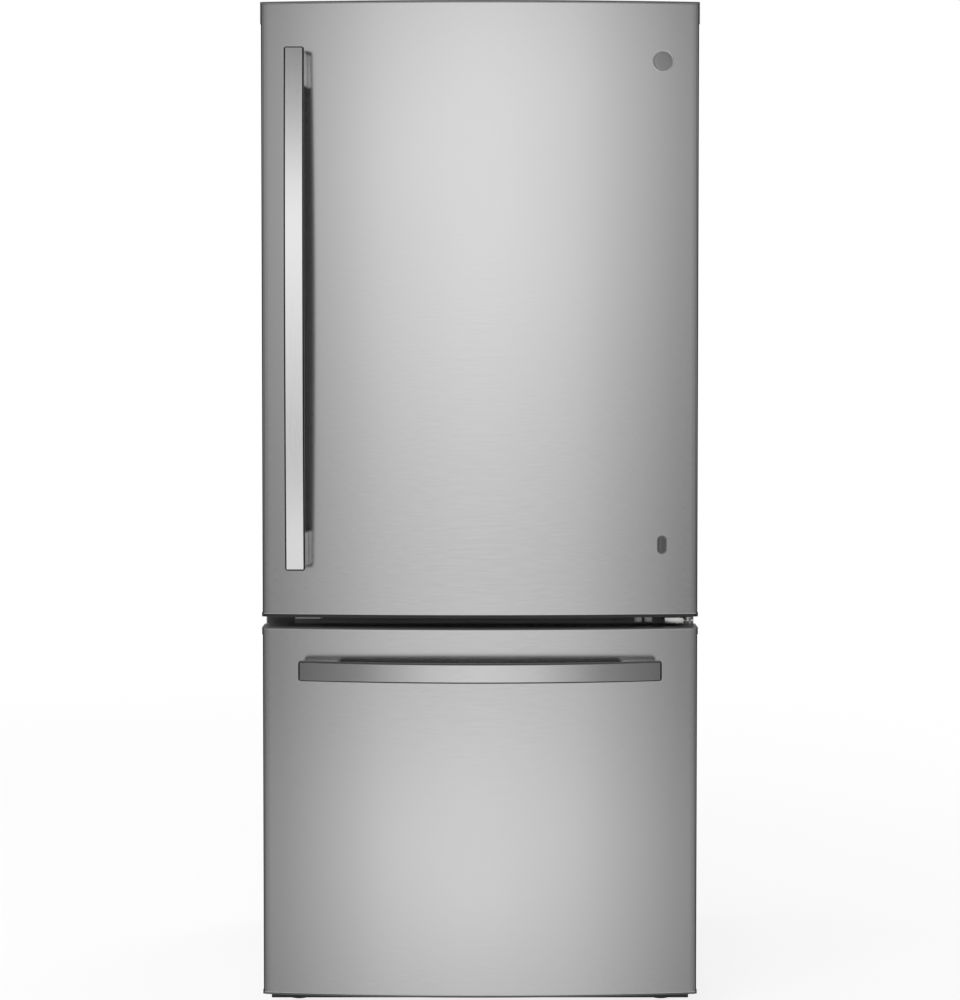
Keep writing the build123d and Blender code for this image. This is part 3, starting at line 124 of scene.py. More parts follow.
class Finish(Maker):
    # a material with one Principled shader
    def __init__(self, name, **fixed):
        self.block = bpy.data.materials.new(name)
        self.block.use_nodes = True
        self.tree = self.block.node_tree
        self.tree.nodes.clear()
        self.out = self.tree.nodes.new("ShaderNodeOutputMaterial")
        self.shader = self.tree.nodes.new("ShaderNodeBsdfPrincipled")
        self.tree.links.new(self.shader.outputs[0], self.out.inputs[0])
        for socket, value in fixed.items():
            self.set(socket, value)

    def set(self, name, value):
        self.feed(self.shader.inputs[name.replace("_", " ")], value)

    def place(self, stretch=(1, 1, 1)):
        coordinates = self.node("ShaderNodeTexCoord", out=3)
        return self.node("ShaderNodeMapping", {"Vector": coordinates, "Scale": stretch})

    def noise(self, scale, detail, rough, stretch=(1, 1, 1)):
        return self.node("ShaderNodeTexNoise", {"Vector": self.place(stretch), "Scale": scale,
                                                "Detail": detail, "Roughness": rough})

    def colour(self, texture, low, high, first, second):
        self.set("Base Color", self.mix(self.between(texture, low, high), first, second))

    def rough(self, *values):
        self.set("Roughness", self.between(*values))

    def bump(self, height, strength, distance):
        self.set("Normal", self.node("ShaderNodeBump", {"Height": height, "Strength": strength,
                                                        "Distance": distance}))


def darker(shade, part):
    return tuple(min(1.0, value * part) for value in shade)


# materials

def steelFinish(name, shade, rough, grainScale, bump, grainStretch=(1, 1, 1), cloud=0.008):
    # stainless sheet or bar with a fine grain and a faint cloudiness
    finish = Finish(name, Metallic=1.0)
    grain = finish.noise(grainScale, 3.0, 0.6, grainStretch)
    haze = finish.noise(2.3, 1.0, 0.4)
    finish.colour(grain, 0.3, 0.7, darker(shade, 0.95), shade)
    finish.set("Roughness", finish.between(grain, 0.25, 0.75, rough - 0.015, rough + 0.02)
               + finish.between(haze, 0.3, 0.7, -cloud, cloud))
    finish.bump(grain, bump, 0.0002)
    return finish.block


def plasticFinish(name, shade, rough, bump=0.12, sparkScale=2600, drift=0.94):
    # moulded plastic with the spark texture of its tool and slight drift in tone
    finish = Finish(name, IOR=1.46)
    spark = finish.noise(sparkScale, 2.0, 0.55)
    flow = finish.noise(9.0, 2.0, 0.5)
    finish.colour(flow, 0.35, 0.65, shade, darker(shade, drift))
    finish.rough(spark, 0.3, 0.7, rough - 0.05, rough + 0.05)
    finish.bump(spark, bump, 0.0002)
    return finish.block


def paintFinish(name, shade, rough, pebbleScale, bump):
    # pebbled coat on sheet steel
    finish = Finish(name, IOR=1.5)
    pebble = finish.node("ShaderNodeTexVoronoi",
                         {"Vector": finish.place(), "Scale": pebbleScale, "Smoothness": 0.6},
                         feature="SMOOTH_F1")
    drift = finish.noise(3.0, 3.0, 0.5)
    finish.colour(drift, 0.3, 0.7, shade, darker(shade, 0.92))
    finish.rough(pebble, 0.0, 0.6, rough - 0.06, rough + 0.08)
    finish.bump(pebble, bump, 0.0004)
    return finish.block


def zincFinish(name, dark, light, rough, crystalScale):
    # galvanised steel, spangled with crystals of two greys
    finish = Finish(name, Metallic=0.8)
    crystal = finish.node("ShaderNodeTexVoronoi", {"Vector": finish.place(), "Scale": crystalScale}, out=1)
    tone = finish.node("ShaderNodeRGBToBW", {"Color": crystal})
    haze = finish.noise(60.0, 3.0, 0.6)
    finish.colour(tone, 0.2, 0.8, dark, light)
    finish.rough(tone + haze * 0.4, 0.3, 1.1, rough - 0.08, rough + 0.12)
    finish.bump(haze, 0.1, 0.0003)
    return finish.block


def rubberFinish(name, shade, rough):
    # soft seal or foot, with a little dust
    finish = Finish(name, IOR=1.45)
    grain = finish.noise(900.0, 3.0, 0.6)
    dust = finish.noise(14.0, 3.0, 0.5)
    finish.colour(dust, 0.35, 0.75, shade, darker(shade, 1.2))
    finish.rough(grain, 0.3, 0.7, rough - 0.06, rough + 0.06)
    finish.bump(grain, 0.2, 0.0003)
    return finish.block


def clearFinish(name, shade, solid, rough, waveScale, bump):
    # clear plastic or glass with faint waviness, seen through where solid is below 1
    finish = Finish(name, IOR=1.5)
    wave = finish.noise(waveScale, 1.0, 0.4)
    finish.colour(wave, 0.3, 0.7, shade, darker(shade, 0.985))
    finish.rough(wave, 0.3, 0.7, rough, rough + 0.02)
    finish.set("Alpha", finish.between(wave, 0.2, 0.8, solid * 0.92, solid))
    finish.bump(wave, bump, 0.0008)
    return finish.block


def lensFinish(name, shade, glow):
    # frosted prismatic cover, lit from behind
    finish = Finish(name, IOR=1.45, Emission_Strength=glow)
    prism = finish.noise(120.0, 1.0, 0.4, (0.2, 1, 1))
    finish.colour(prism, 0.3, 0.7, shade, darker(shade, 0.9))
    finish.set("Emission Color", finish.mix(finish.between(prism, 0.3, 0.7), (1.0, 0.97, 0.92),
                                            (0.9, 0.88, 0.84)))
    finish.rough(prism, 0.3, 0.7, 0.40, 0.55)
    finish.bump(prism, 0.2, 0.0006)
    return finish.block


def foamFinish(name, shade, deep):
    # blown foam, seen at its cut edges
    finish = Finish(name, IOR=1.4)
    cells = finish.node("ShaderNodeTexVoronoi", {"Vector": finish.place(), "Scale": 420.0})
    lumps = finish.noise(12.0, 4.0, 0.6)
    finish.set("Base Color", finish.mix(lumps, shade, deep))
    finish.rough(cells, 0.0, 0.6, 0.82, 0.95)
    finish.bump(cells, 0.4, 0.0006)
    return finish.block


# each finish: its maker, its slot in the record, and the maker's values
finishTable = {
    "skinSteel": (steelFinish, "stainless", (0.68, 0.68, 0.682), 0.17, 900.0, 0.04, (0.02, 1, 1)),
    # a much darker copy of the skin's steel for the doors' wrapped sides: painted shade
    "skinEdge": (steelFinish, "stainless", (0.13, 0.13, 0.132), 0.30, 900.0, 0.04, (1, 1, 0.02)),
    # the bars' faces take brighter copies of the skin's steel: painted highlight
    "barSteel": (steelFinish, "stainless", (0.76, 0.76, 0.76), 0.15, 1200.0, 0.03, (1, 1, 0.03)),
    "drawerBarSteel": (steelFinish, "stainless", (0.74, 0.74, 0.74), 0.15, 1200.0, 0.03, (0.03, 1, 1)),
    # a near-black copy of the bars' steel for their chamfers and sides: painted shade
    "barShade": (steelFinish, "stainless", (0.085, 0.085, 0.086), 0.34, 1600.0, 0.04),
    # a darker copy of the stainless for the mounts, the bars' backs and the tag's rim: painted shade
    "mountSteel": (steelFinish, "stainless", (0.33, 0.33, 0.335), 0.26, 1600.0, 0.04),
    "brightSteel": (steelFinish, "bright_steel", (0.74, 0.74, 0.73), 0.28, 1500.0, 0.08, (0.2, 1, 1)),
    "badgeMetal": (steelFinish, "badge_metal", (0.48, 0.48, 0.485), 0.30, 2400.0, 0.06),
    "tagMetal": (steelFinish, "badge_metal", (0.20, 0.20, 0.205), 0.30, 2400.0, 0.05, (1, 1, 0.1)),
    "badgeRim": (steelFinish, "badge_metal", (0.86, 0.86, 0.86), 0.22, 2400.0, 0.04),
    "stopNylon": (plasticFinish, "shelf_trim", (0.90, 0.90, 0.88), 0.35),
    "darkTrim": (plasticFinish, "dark_trim", (0.022, 0.022, 0.023), 0.42, 0.15),
    "capTrim": (plasticFinish, "dark_trim", (0.085, 0.086, 0.088), 0.40),
    "casePaint": (paintFinish, "case_paint", (0.27, 0.273, 0.278), 0.42, 1400.0, 0.35),
    "linerWhite": (plasticFinish, "liner_white", (0.80, 0.81, 0.81), 0.24, 0.04, 700, 0.97),
    "whiteBin": (plasticFinish, "white_bin", (0.78, 0.79, 0.80), 0.30, 0.08, 2600, 0.97),
    "shelfTrim": (plasticFinish, "shelf_trim", (0.66, 0.67, 0.69), 0.28, 0.06, 2600, 0.96),
    "coverGrey": (plasticFinish, "cover_grey", (0.62, 0.63, 0.64), 0.38, 0.14, 2600, 0.95),
    "fanGrey": (plasticFinish, "fan_grey", (0.10, 0.10, 0.11), 0.40),
    "rollerPlastic": (plasticFinish, "roller_plastic", (0.055, 0.055, 0.06), 0.5, 0.2),
    "compressorBlack": (paintFinish, "compressor_black", (0.020, 0.020, 0.022), 0.30, 500.0, 0.12),
    "coilBlack": (paintFinish, "coil_black", (0.018, 0.018, 0.019), 0.42, 1600.0, 0.2),
    "coilAluminium": (steelFinish, "coil_aluminium", (0.78, 0.79, 0.80), 0.34, 900.0, 0.1, (1, 0.2, 1)),
    "zinc": (zincFinish, "zinc", (0.43, 0.44, 0.45), (0.54, 0.55, 0.56), 0.42, 240.0),
    "gasketGrey": (rubberFinish, "gasket_grey", (0.20, 0.205, 0.21), 0.55),
    "footRubber": (rubberFinish, "roller_plastic", (0.025, 0.025, 0.026), 0.6),
    "clearBin": (clearFinish, "clear_bin", (0.80, 0.86, 0.88), 0.24, 0.10, 14.0, 0.05),
    "shelfGlass": (clearFinish, "shelf_glass", (0.62, 0.76, 0.70), 0.16, 0.04, 4.0, 0.01),
    "lens": (lensFinish, "lens", (0.90, 0.90, 0.88), 7.0),
    "foam": (foamFinish, "foam", (0.80, 0.70, 0.42), (0.70, 0.58, 0.32)),
}
finishes = {name: make(name, *values) for name, (make, slot, *values) in finishTable.items()}
print("finishes made,", len(finishes))


# camera, floor and studio

eye = {"lens": 93.4, "shiftY": -0.055, "tilt": 2.2, "height": 1.1622, "ahead": 4.4766, "edgeY": -0.3515}
lens = bpy.data.cameras.new("lens")
lens.lens, lens.shift_y = eye["lens"], eye["shiftY"]
view = placed("view", lens)
view.location = (0, eye["edgeY"] - eye["ahead"], eye["height"])
view.rotation_euler = (math.radians(90 - eye["tilt"]), 0, 0)
bpy.context.scene.camera = view
bpy.context.scene.view_settings.view_transform = "Standard"


# what polished metal sees of the studio: brightness by the angle to either side of straight ahead, and by
# the height above the horizon, both in degrees; past the fades come the pale floor and the ceiling lamp
studio = {"ambient": 0.62, "peak": 1.22,
          "sides": ((0, 1.0), (8, 0.90), (15, 0.62), (21, 0.34), (29, 0.24), (36, 0.10), (44, 0.12),
                    (58, 0.30), (72, 0.24), (92, 0.20), (101, 0.05), (146, 0.04), (162, 0.45), (180, 0.7)),
          "heights": ((-20, 0.36), (-16, 0.44), (-14.3, 0.52), (-12, 1.06), (-10, 0.88), (-8, 0.59),
                      (-5.8, 0.56), (-2, 0.75), (2, 0.91), (5.5, 1.06), (7.5, 0.91), (10, 0.52), (14, 0.24),
                      (22, 0.16)),
          "floorFade": (-15.5, -22.0), "floorShade": 0.60, "roofFade": (22.0, 50.0), "roofShade": 0.85}


def writeStudio():
    world = Maker()
    sky = bpy.data.worlds.new("studio")
    sky.use_nodes = True
    bpy.context.scene.world = sky
    world.tree = sky.node_tree
    world.tree.nodes.clear()
    out = world.tree.nodes.new("ShaderNodeOutputWorld")
    way = world.node("ShaderNodeTexCoord", out=0)
    parts = [world.node("ShaderNodeSeparateXYZ", {"Vector": way}, out=axis) for axis in range(3)]
    turn = world.join("ABSOLUTE", world.join("ARCTAN2", parts[0], 0 - parts[1])) / math.pi
    height = world.join("ARCSINE", parts[2]) * (180 / math.pi)
    low, high = studio["heights"][0][0], studio["heights"][-1][0]
    sides = [(angle / 180, shade) for angle, shade in studio["sides"]]
    heights = [((angle - low) / (high - low), shade) for angle, shade in studio["heights"]]
    across = world.ramp(turn, sides)
    along = world.ramp((height - low) / (high - low), heights)
    glow = across * along * studio["peak"]
    floorPart = world.between(height, studio["floorFade"][1], studio["floorFade"][0], 1.0, 0.0)
    roofPart = world.between(height, *studio["roofFade"])
    glow = glow * (1 - floorPart) + floorPart * studio["floorShade"]
    glow = glow * (1 - roofPart) + roofPart * studio["roofShade"]
    camera, glossy, through = [world.node("ShaderNodeLightPath", out=name)
                               for name in ("Is Camera Ray", "Is Glossy Ray", "Is Transmission Ray")]
    seen = world.join("MAXIMUM", camera, through)
    shade = glossy * glow + (1 - glossy) * studio["ambient"]
    shade = seen + (1 - seen) * shade
    light = world.node("ShaderNodeBackground", {"Color": (1, 1, 1), "Strength": shade})
    world.tree.links.new(light.socket, out.inputs[0])


writeStudio()

lamps = {"front": {"place": (-1.2, -3.4, 3.2), "aim": (0, 0, 1.0), "size": 2.6, "power": 95},
         "left": {"place": (-3.4, 0.4, 2.4), "aim": (0, 0, 0.9), "size": 2.2, "power": 45},
         "back": {"place": (2.4, 3.2, 2.8), "aim": (0, 0, 0.9), "size": 2.4, "power": 60}}
for name, lamp in lamps.items():
    light = bpy.data.lights.new(name + "Lamp", "AREA")
    light.energy, light.size = lamp["power"], lamp["size"]
    holder = placed(name + "Lamp", light)
    holder.location = lamp["place"]
    holder.rotation_euler = (Vector(lamp["aim"]) - Vector(lamp["place"])).to_track_quat("-Z", "Y").to_euler()
    holder.visible_glossy = False

# the floor gives back its own white to the camera, wholly so beyond the fade, in metres from the middle
ground = {"half": 600.0, "shade": 0.86, "ownLight": 0.80, "fade": (1.2, 4.5)}


def floorFinish():
    # diffuse where it gives light and takes shadow, mostly its own white to the camera
    finish = Finish("floorWhite", Roughness=0.9)
    mottle = finish.noise(3.0, 2.0, 0.5)
    finish.set("Base Color", finish.mix(mottle, (ground["shade"],) * 3, (ground["shade"] * 0.97,) * 3))
    white = finish.node("ShaderNodeEmission", {"Color": (1, 1, 1), "Strength": 1.0})
    camera = finish.node("ShaderNodeLightPath", out="Is Camera Ray")
    through = finish.node("ShaderNodeLightPath", out="Is Transmission Ray")
    spot = finish.node("ShaderNodeVectorMath", {0: finish.node("ShaderNodeTexCoord", out=3)}, out=1,
                       operation="LENGTH")
    own = finish.between(spot, *ground["fade"], ground["ownLight"], 1.0)
    share = finish.join("MAXIMUM", camera, through) * own
    both = finish.node("ShaderNodeMixShader", {0: share, 2: white})
    finish.tree.links.new(finish.shader.outputs[0], both.socket.node.inputs[1])
    finish.tree.links.new(both.socket, finish.out.inputs[0])
    return finish.block


half = ground["half"]
floorMesh = bpy.data.meshes.new("floor")
corners = [(-half, -half, 0), (half, -half, 0), (half, half, 0), (-half, half, 0)]
floorMesh.from_pydata(corners, [], [(0, 1, 2, 3)])
floorMesh.materials.append(floorFinish())
floor = placed("floor", floorMesh)
floor.visible_glossy = False
print("studio set")


# ways to make a piece

# corners nearer than weld, in metres, are one, and so are faces that meet flatter than flat, in degrees
weld, flat = 1e-5, 0.6


def makePiece(name, mesh, finish, body, *stands):
    piece = placed(name, mesh)
    mesh.materials.clear()
    mesh.materials.append(finishes[finish])
    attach(piece, body)
    if stands:
        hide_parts(*stands)
    return piece


def fixed(piece):
    # the shape that its modifiers give it, as a plain mesh
    bpy.context.view_layer.update()
    graph = bpy.context.evaluated_depsgraph_get()
    mesh = bpy.data.meshes.new_from_object(piece.evaluated_get(graph))
    piece.modifiers.clear()
    piece.data = mesh
    return mesh


def rounded(mesh, width, steps=2, angle=40.0):
    # softens the sharp edges of a mesh, keeping flat faces flat
    holder = placed("holder", mesh)
    mesh.shade_smooth()
    if width > 0:
        edge = holder.modifiers.new("edges", "BEVEL")
        edge.width, edge.segments, edge.limit_method = width, steps, "ANGLE"
        edge.angle_limit, edge.harden_normals, edge.use_clamp_overlap = math.radians(angle), True, True
        mesh = fixed(holder)
    else:
        mesh.set_sharp_from_angle(angle=math.radians(angle))
    bpy.data.objects.remove(holder)
    return mesh


def plainMesh(shape, name):
    mesh = bpy.data.meshes.new(name)
    shape.to_mesh(mesh)
    shape.free()
    return mesh


def meshFrom(shape, name):
    # a bmesh as a mesh whose faces point outwards
    bmesh.ops.remove_doubles(shape, verts=shape.verts, dist=weld / 10)
    bmesh.ops.recalc_face_normals(shape, faces=shape.faces)
    return plainMesh(shape, name)


def cadShape(node):
    # a CAD node as a bmesh, its triangles joined at their corners
    shape = bmesh.new()
    shape.from_mesh(nodes[node].data)
    bmesh.ops.remove_doubles(shape, verts=shape.verts, dist=weld)
    return shape


def shaped(name, shape, finish, body, *stands, width=0.0, steps=1, angle=32.0, turn=None):
    # a bmesh as a finished piece
    mesh = meshFrom(shape, name)
    if turn:
        mesh.transform(turn)
    return makePiece(name, rounded(mesh, width, steps, angle), finish, body, *stands)


def softCopy(node, finish, width, steps=2, angle=40.0):
    # stands for a CAD node, with its triangles joined into faces and its edges softened
    shape = cadShape(node)
    bmesh.ops.dissolve_limit(shape, angle_limit=math.radians(flat), verts=shape.verts, edges=shape.edges)
    mesh = rounded(plainMesh(shape, node), width, steps, angle)
    return makePiece(node + "_piece", mesh, finish, bodyOf[node], node)


def softCopies(*rows, steps=2, angle=40.0):
    # rows of nodes with one finish and one width of softened edge
    for names, finish, width in rows:
        for node in names.split():
            softCopy(node, finish, width, steps, angle)


def loft(shape, rings, closed=True, capped=True, looped=False):
    # faces between outlines of equal count
    layers = [[shape.verts.new(point) for point in ring] for ring in rings]
    count = len(layers[0])
    uppers = layers[1:] + (layers[:1] if looped else [])
    for lower, upper in zip(layers, uppers):
        for first in range(count if closed else count - 1):
            second = (first + 1) % count
            shape.faces.new((lower[first], lower[second], upper[second], upper[first]))
    if capped:
        shape.faces.new(reversed(layers[0]))
        shape.faces.new(layers[-1])


def turned(shape, profile, centre, axis, sides=48, closed=False):
    # a profile of (along, radius) pairs turned round an axis through centre
    along = Vector([float(axis == place) for place in range(3)])
    side = Vector((1, 0, 0) if axis == 2 else (0, 0, 1))
    other = along.cross(side)
    rings = []
    for step in range(sides):
        angle = math.tau * step / sides
        out = side * math.cos(angle) + other * math.sin(angle)
        rings.append([Vector(centre) + along * place + out * radius for place, radius in profile])
    loft(shape, rings, closed=closed, capped=False, looped=True)


def arcRadius(chord, rise):
    return ((chord / 2) ** 2 + rise ** 2) / (2 * rise)


def sagAt(radius, place):
    # how far an arc falls back at a place measured from its middle
    return radius - math.sqrt(radius ** 2 - place ** 2)


def looseParts(node):
    # lowest and highest corner of each separate solid of a node
    shape = cadShape(node)
    left, found = dict.fromkeys(shape.verts), []
    while left:
        group, edge = [], [left.popitem()[0]]
        while edge:
            corner = edge.pop()
            group.append(corner.co)
            for link in corner.link_edges:
                other = link.other_vert(corner)
                if other in left:
                    del left[other]
                    edge.append(other)
        found.append([Vector([pick(place[axis] for place in group) for axis in range(3)])
                      for pick in (min, max)])
    shape.free()
    return found


class Recipe(Maker):
    # a Geometry Nodes tree whose sizes are named inputs
    def __init__(self, name, **sizes):
        self.tree = bpy.data.node_groups.new(name, "GeometryNodeTree")
        self.tree.interface.new_socket("Geometry", in_out="INPUT", socket_type="NodeSocketGeometry")
        self.tree.interface.new_socket("Geometry", in_out="OUTPUT", socket_type="NodeSocketGeometry")
        self.keys = {}
        for size, value in sizes.items():
            kind = "NodeSocketInt" if isinstance(value, int) else "NodeSocketFloat"
            made = self.tree.interface.new_socket(size, in_out="INPUT", socket_type=kind)
            made.default_value = value
            self.keys[size] = made.identifier
        self.entry = self.tree.nodes.new("NodeGroupInput")
        self.ending = self.tree.nodes.new("NodeGroupOutput")
        self.seed = Wire(self, self.entry.outputs["Geometry"])

    def __getitem__(self, name):
        return Wire(self, self.entry.outputs[name])

    def power(self, value, exponent):
        return self.join("POWER", value, exponent)

    def vector(self, x, y, z):
        return self.node("ShaderNodeCombineXYZ", {"X": x, "Y": y, "Z": z})

    def sheet(self, wide, high):
        # a unit grid and its two coordinates, both from 0 to 1
        grid = self.node("GeometryNodeMeshGrid", {"Size X": 1.0, "Size Y": 1.0, "Vertices X": wide,
                                                  "Vertices Y": high})
        place = self.node("GeometryNodeInputPosition")
        across, up = [self.node("ShaderNodeSeparateXYZ", {"Vector": place}, out=axis) for axis in (0, 1)]
        return grid, across + 0.5, up + 0.5

    def moved(self, shape, place):
        return self.node("GeometryNodeSetPosition", {"Geometry": shape, "Position": place})

    def copies(self, points, shape, **settings):
        return self.node("GeometryNodeInstanceOnPoints", {"Points": points, "Instance": shape, **settings})

    def joined(self, *shapes):
        both = self.tree.nodes.new("GeometryNodeJoinGeometry")
        for shape in shapes:
            self.tree.links.new(shape.socket, both.inputs[0])
        return Wire(self, both.outputs[0])

    def end(self, shape, finish):
        plain = self.node("GeometryNodeRealizeInstances", {"Geometry": shape})
        done = self.node("GeometryNodeSetMaterial", {"Geometry": plain, "Material": finishes[finish]})
        self.tree.links.new(done.socket, self.ending.inputs[0])


def grown(recipe, name, finish, body, *stands, seed=None, sizes=None, wall=0.0, edge=0.0, turn=None):
    # the recipe's result as a plain mesh, with a wall and softened edges if asked
    holder = placed(name + "Seed", seed or bpy.data.meshes.new(name + "Seed"))
    live = holder.modifiers.new("recipe", "NODES")
    live.node_group = recipe.tree
    for size, value in (sizes or {}).items():
        live[recipe.keys[size]] = value
    if wall:
        thick = holder.modifiers.new("wall", "SOLIDIFY")
        thick.thickness, thick.offset, thick.use_even_offset = wall, 0, True
    mesh = fixed(holder)
    bpy.data.objects.remove(holder)
    mesh.name = name
    if turn:
        mesh.transform(turn)
    return makePiece(name, rounded(mesh, edge), finish, body, *stands)


# doors: bowed steel fronts, wrapped round the sides and hemmed at both ends

front = {"half": 0.3766, "rearY": -0.2855, "edgeY": -0.3515, "bow": 0.027, "corner": 0.006, "fold": 0.0015,
         "flange": 0.016, "hem": 0.0012, "turnIn": 0.005, "sheet": 0.0008, "steps": 96, "sideTurn": 0.68}
# each skin ends a lip above the cap below it and a lip below the cap above it
spans = {"door_skin": {"ends": (0.693, 1.751), "lips": (0.0045, 0.0025)},
         "drawer_skin": {"ends": (0.034, 0.674), "lips": (0.0025, 0.0013)}}
bowRadius = arcRadius(2 * front["half"], front["bow"])
bowCentreY = front["edgeY"] - front["bow"] + bowRadius


def bowY(x):
    # the bowed face at a place across the doors
    return bowCentreY - math.sqrt(bowRadius ** 2 - x * x)


def arcPoints(centre, radius, start, end, steps):
    # angles in radians, 0 towards the viewer and growing to the right
    angles = [start + (end - start) * step / steps for step in range(steps + 1)]
    return [(centre[0] + radius * math.sin(angle), centre[1] - radius * math.cos(angle)) for angle in angles]


def frontOutline(inset):
    # from the middle of the front round the right side to the rear flange, then mirrored
    half, radius = front["half"] - inset, bowRadius - inset
    corner = max(front["corner"] - inset, front["sheet"])
    cornerX = half - corner
    lean = math.asin(cornerX / (radius - corner))
    cornerY = bowCentreY - (radius - corner) * math.cos(lean)
    right = arcPoints((0, bowCentreY), radius, 0, lean, front["steps"] // 2)[:-1]
    right += arcPoints((cornerX, cornerY), corner, lean, math.pi / 2, 8)
    right += [(half, cornerY + (front["rearY"] - front["fold"] - cornerY) * step / 3) for step in (1, 2)]
    fold = (half - front["fold"], front["rearY"] - front["fold"])
    right += arcPoints(fold, front["fold"], math.pi / 2, math.pi, 4)
    right += [(half - front["flange"], front["rearY"])]
    left = [(-x, y) for x, y in reversed(right[1:])]
    return left + right


def frontSkin(node, span):
    low, high = span["ends"][0] + span["lips"][0], span["ends"][1] - span["lips"][1]
    hem = front["hem"]
    stations = [(0, front["turnIn"]), (0, hem)]
    stations += [(hem * (1 - math.cos(angle)), hem * (1 - math.sin(angle)))
                 for angle in (math.pi / 8, math.pi / 4, 3 * math.pi / 8, math.pi / 2)]
    # a level close to each hem keeps the face's own shading flat up to it
    levels = [(low + rise, inset) for rise, inset in stations] + [(low + 2 * hem, 0)]
    levels += [(low + (high - low) * step / 12, 0) for step in range(1, 12)]
    levels += [(high - 2 * hem, 0)] + [(high - rise, inset) for rise, inset in reversed(stations)]
    shape = bmesh.new()
    loft(shape, [[(x, y, z) for x, y in frontOutline(inset)] for z, inset in levels], closed=False,
         capped=False)
    holder = placed("holder", plainMesh(shape, node))
    wall = holder.modifiers.new("wall", "SOLIDIFY")
    wall.thickness, wall.offset, wall.use_quality_normals = front["sheet"], -1, True
    cutter = cutPocket(holder) if node == "door_skin" else None
    mesh = fixed(holder)
    for spent in (holder, cutter):
        if spent:
            bpy.data.objects.remove(spent)
    mesh.set_sharp_from_angle(angle=math.radians(40))
    makePiece(node + "_piece", mesh, "skinSteel", bodyOf[node], node)
    # painted shade: the wrapped sides take a much darker copy of the face's steel
    mesh.materials.append(finishes["skinEdge"])
    for face in mesh.polygons:
        face.material_index = int(abs(face.normal.x) > front["sideTurn"])


pocket = {"pin": (0.3620, -0.3115), "margin": 0.010, "reach": 0.060, "turn": 135.0, "heights": (1.728, 1.752),
          "pastRear": 0.005, "pastSide": 0.02}


def cutPocket(holder):
    # the notch that the hinge arm swings in, open to the rear and the side
    turn = math.radians(pocket["turn"])
    x, y = pocket["pin"]
    margin, reach, rear = pocket["margin"], pocket["reach"], front["rearY"] + pocket["pastRear"]
    start = (x + margin * math.cos(turn), y - margin * math.sin(turn))
    end = (start[0] + reach * math.sin(turn), start[1] + reach * math.cos(turn))
    outline = [(x - margin, rear), (x - margin, y), start, end, (end[0] + pocket["pastSide"], rear)]
    shape = bmesh.new()
    loft(shape, [[(px, py, z) for px, py in outline] for z in pocket["heights"]])
    cutter = placed("cutter", meshFrom(shape, "cutter"))
    cut = holder.modifiers.new("pocket", "BOOLEAN")
    cut.object, cut.operation, cut.solver = cutter, "DIFFERENCE", "EXACT"
    return cutter


for node, span in spans.items():
    frontSkin(node, span)

# painted shade: the door's bottom cap, in the gap, takes a near-black copy of the other caps' grey plastic
caps = {"door_top_cap": "capTrim", "door_bottom_cap": "darkTrim", "drawer_top_cap": "capTrim",
        "drawer_bottom_cap": "capTrim"}
# the CAD caps' lip, the edge that softens it, and the plug in the spare hinge hole, which hangs lower here
capShape = {"lip": 0.0025, "edge": 0.0005, "plugDrop": 0.0045, "plugJoint": 0.001}

for node, finish in caps.items():
    piece = softCopy(node, finish, capShape["edge"])
    if node == "drawer_top_cap":
        # its lip is cut back to the skin's edge
        lips, top = spans["drawer_skin"]["lips"], spans["drawer_skin"]["ends"][1]
        for corner in piece.data.vertices:
            if abs(corner.co.z - (top - capShape["lip"])) < 1.3 * capShape["edge"]:
                corner.co.z += capShape["lip"] - lips[1]
    if node == "door_bottom_cap":
        # its plug is nylon, and low enough to be seen from the front
        under = spans["door_skin"]["ends"][0]
        for corner in piece.data.vertices:
            if corner.co.z < under - capShape["plugJoint"]:
                corner.co.z -= capShape["plugDrop"]
        piece.data.materials.append(finishes["stopNylon"])
        for face in piece.data.polygons:
            face.material_index = int(face.center.z < under - capShape["plugJoint"] / 2)
softCopies(("door_insulation drawer_insulation cabinet_insulation", "foam", 0))
print("fronts made")


# handles: bowed bars with flat chamfered faces, and their mounts

bars = {"door_handle_bar": {"along": 2, "low": 0.777, "length": 0.892, "across": -0.316,
                            "crownY": -0.4215, "rise": 0.014, "finish": "barSteel"},
        "drawer_handle_bar": {"along": 0, "low": -0.3115, "length": 0.623, "across": 0.6044,
                              "crownY": -0.4405, "rise": 0.037, "finish": "drawerBarSteel"}}
barSection = {"width": 0.034, "thickness": 0.013, "chamfer": 0.0025, "edge": 0.0004, "back": 0.0018,
              "steps": 72, "corner": 0.004, "cornerSteps": 5, "faceTurn": 0.9}


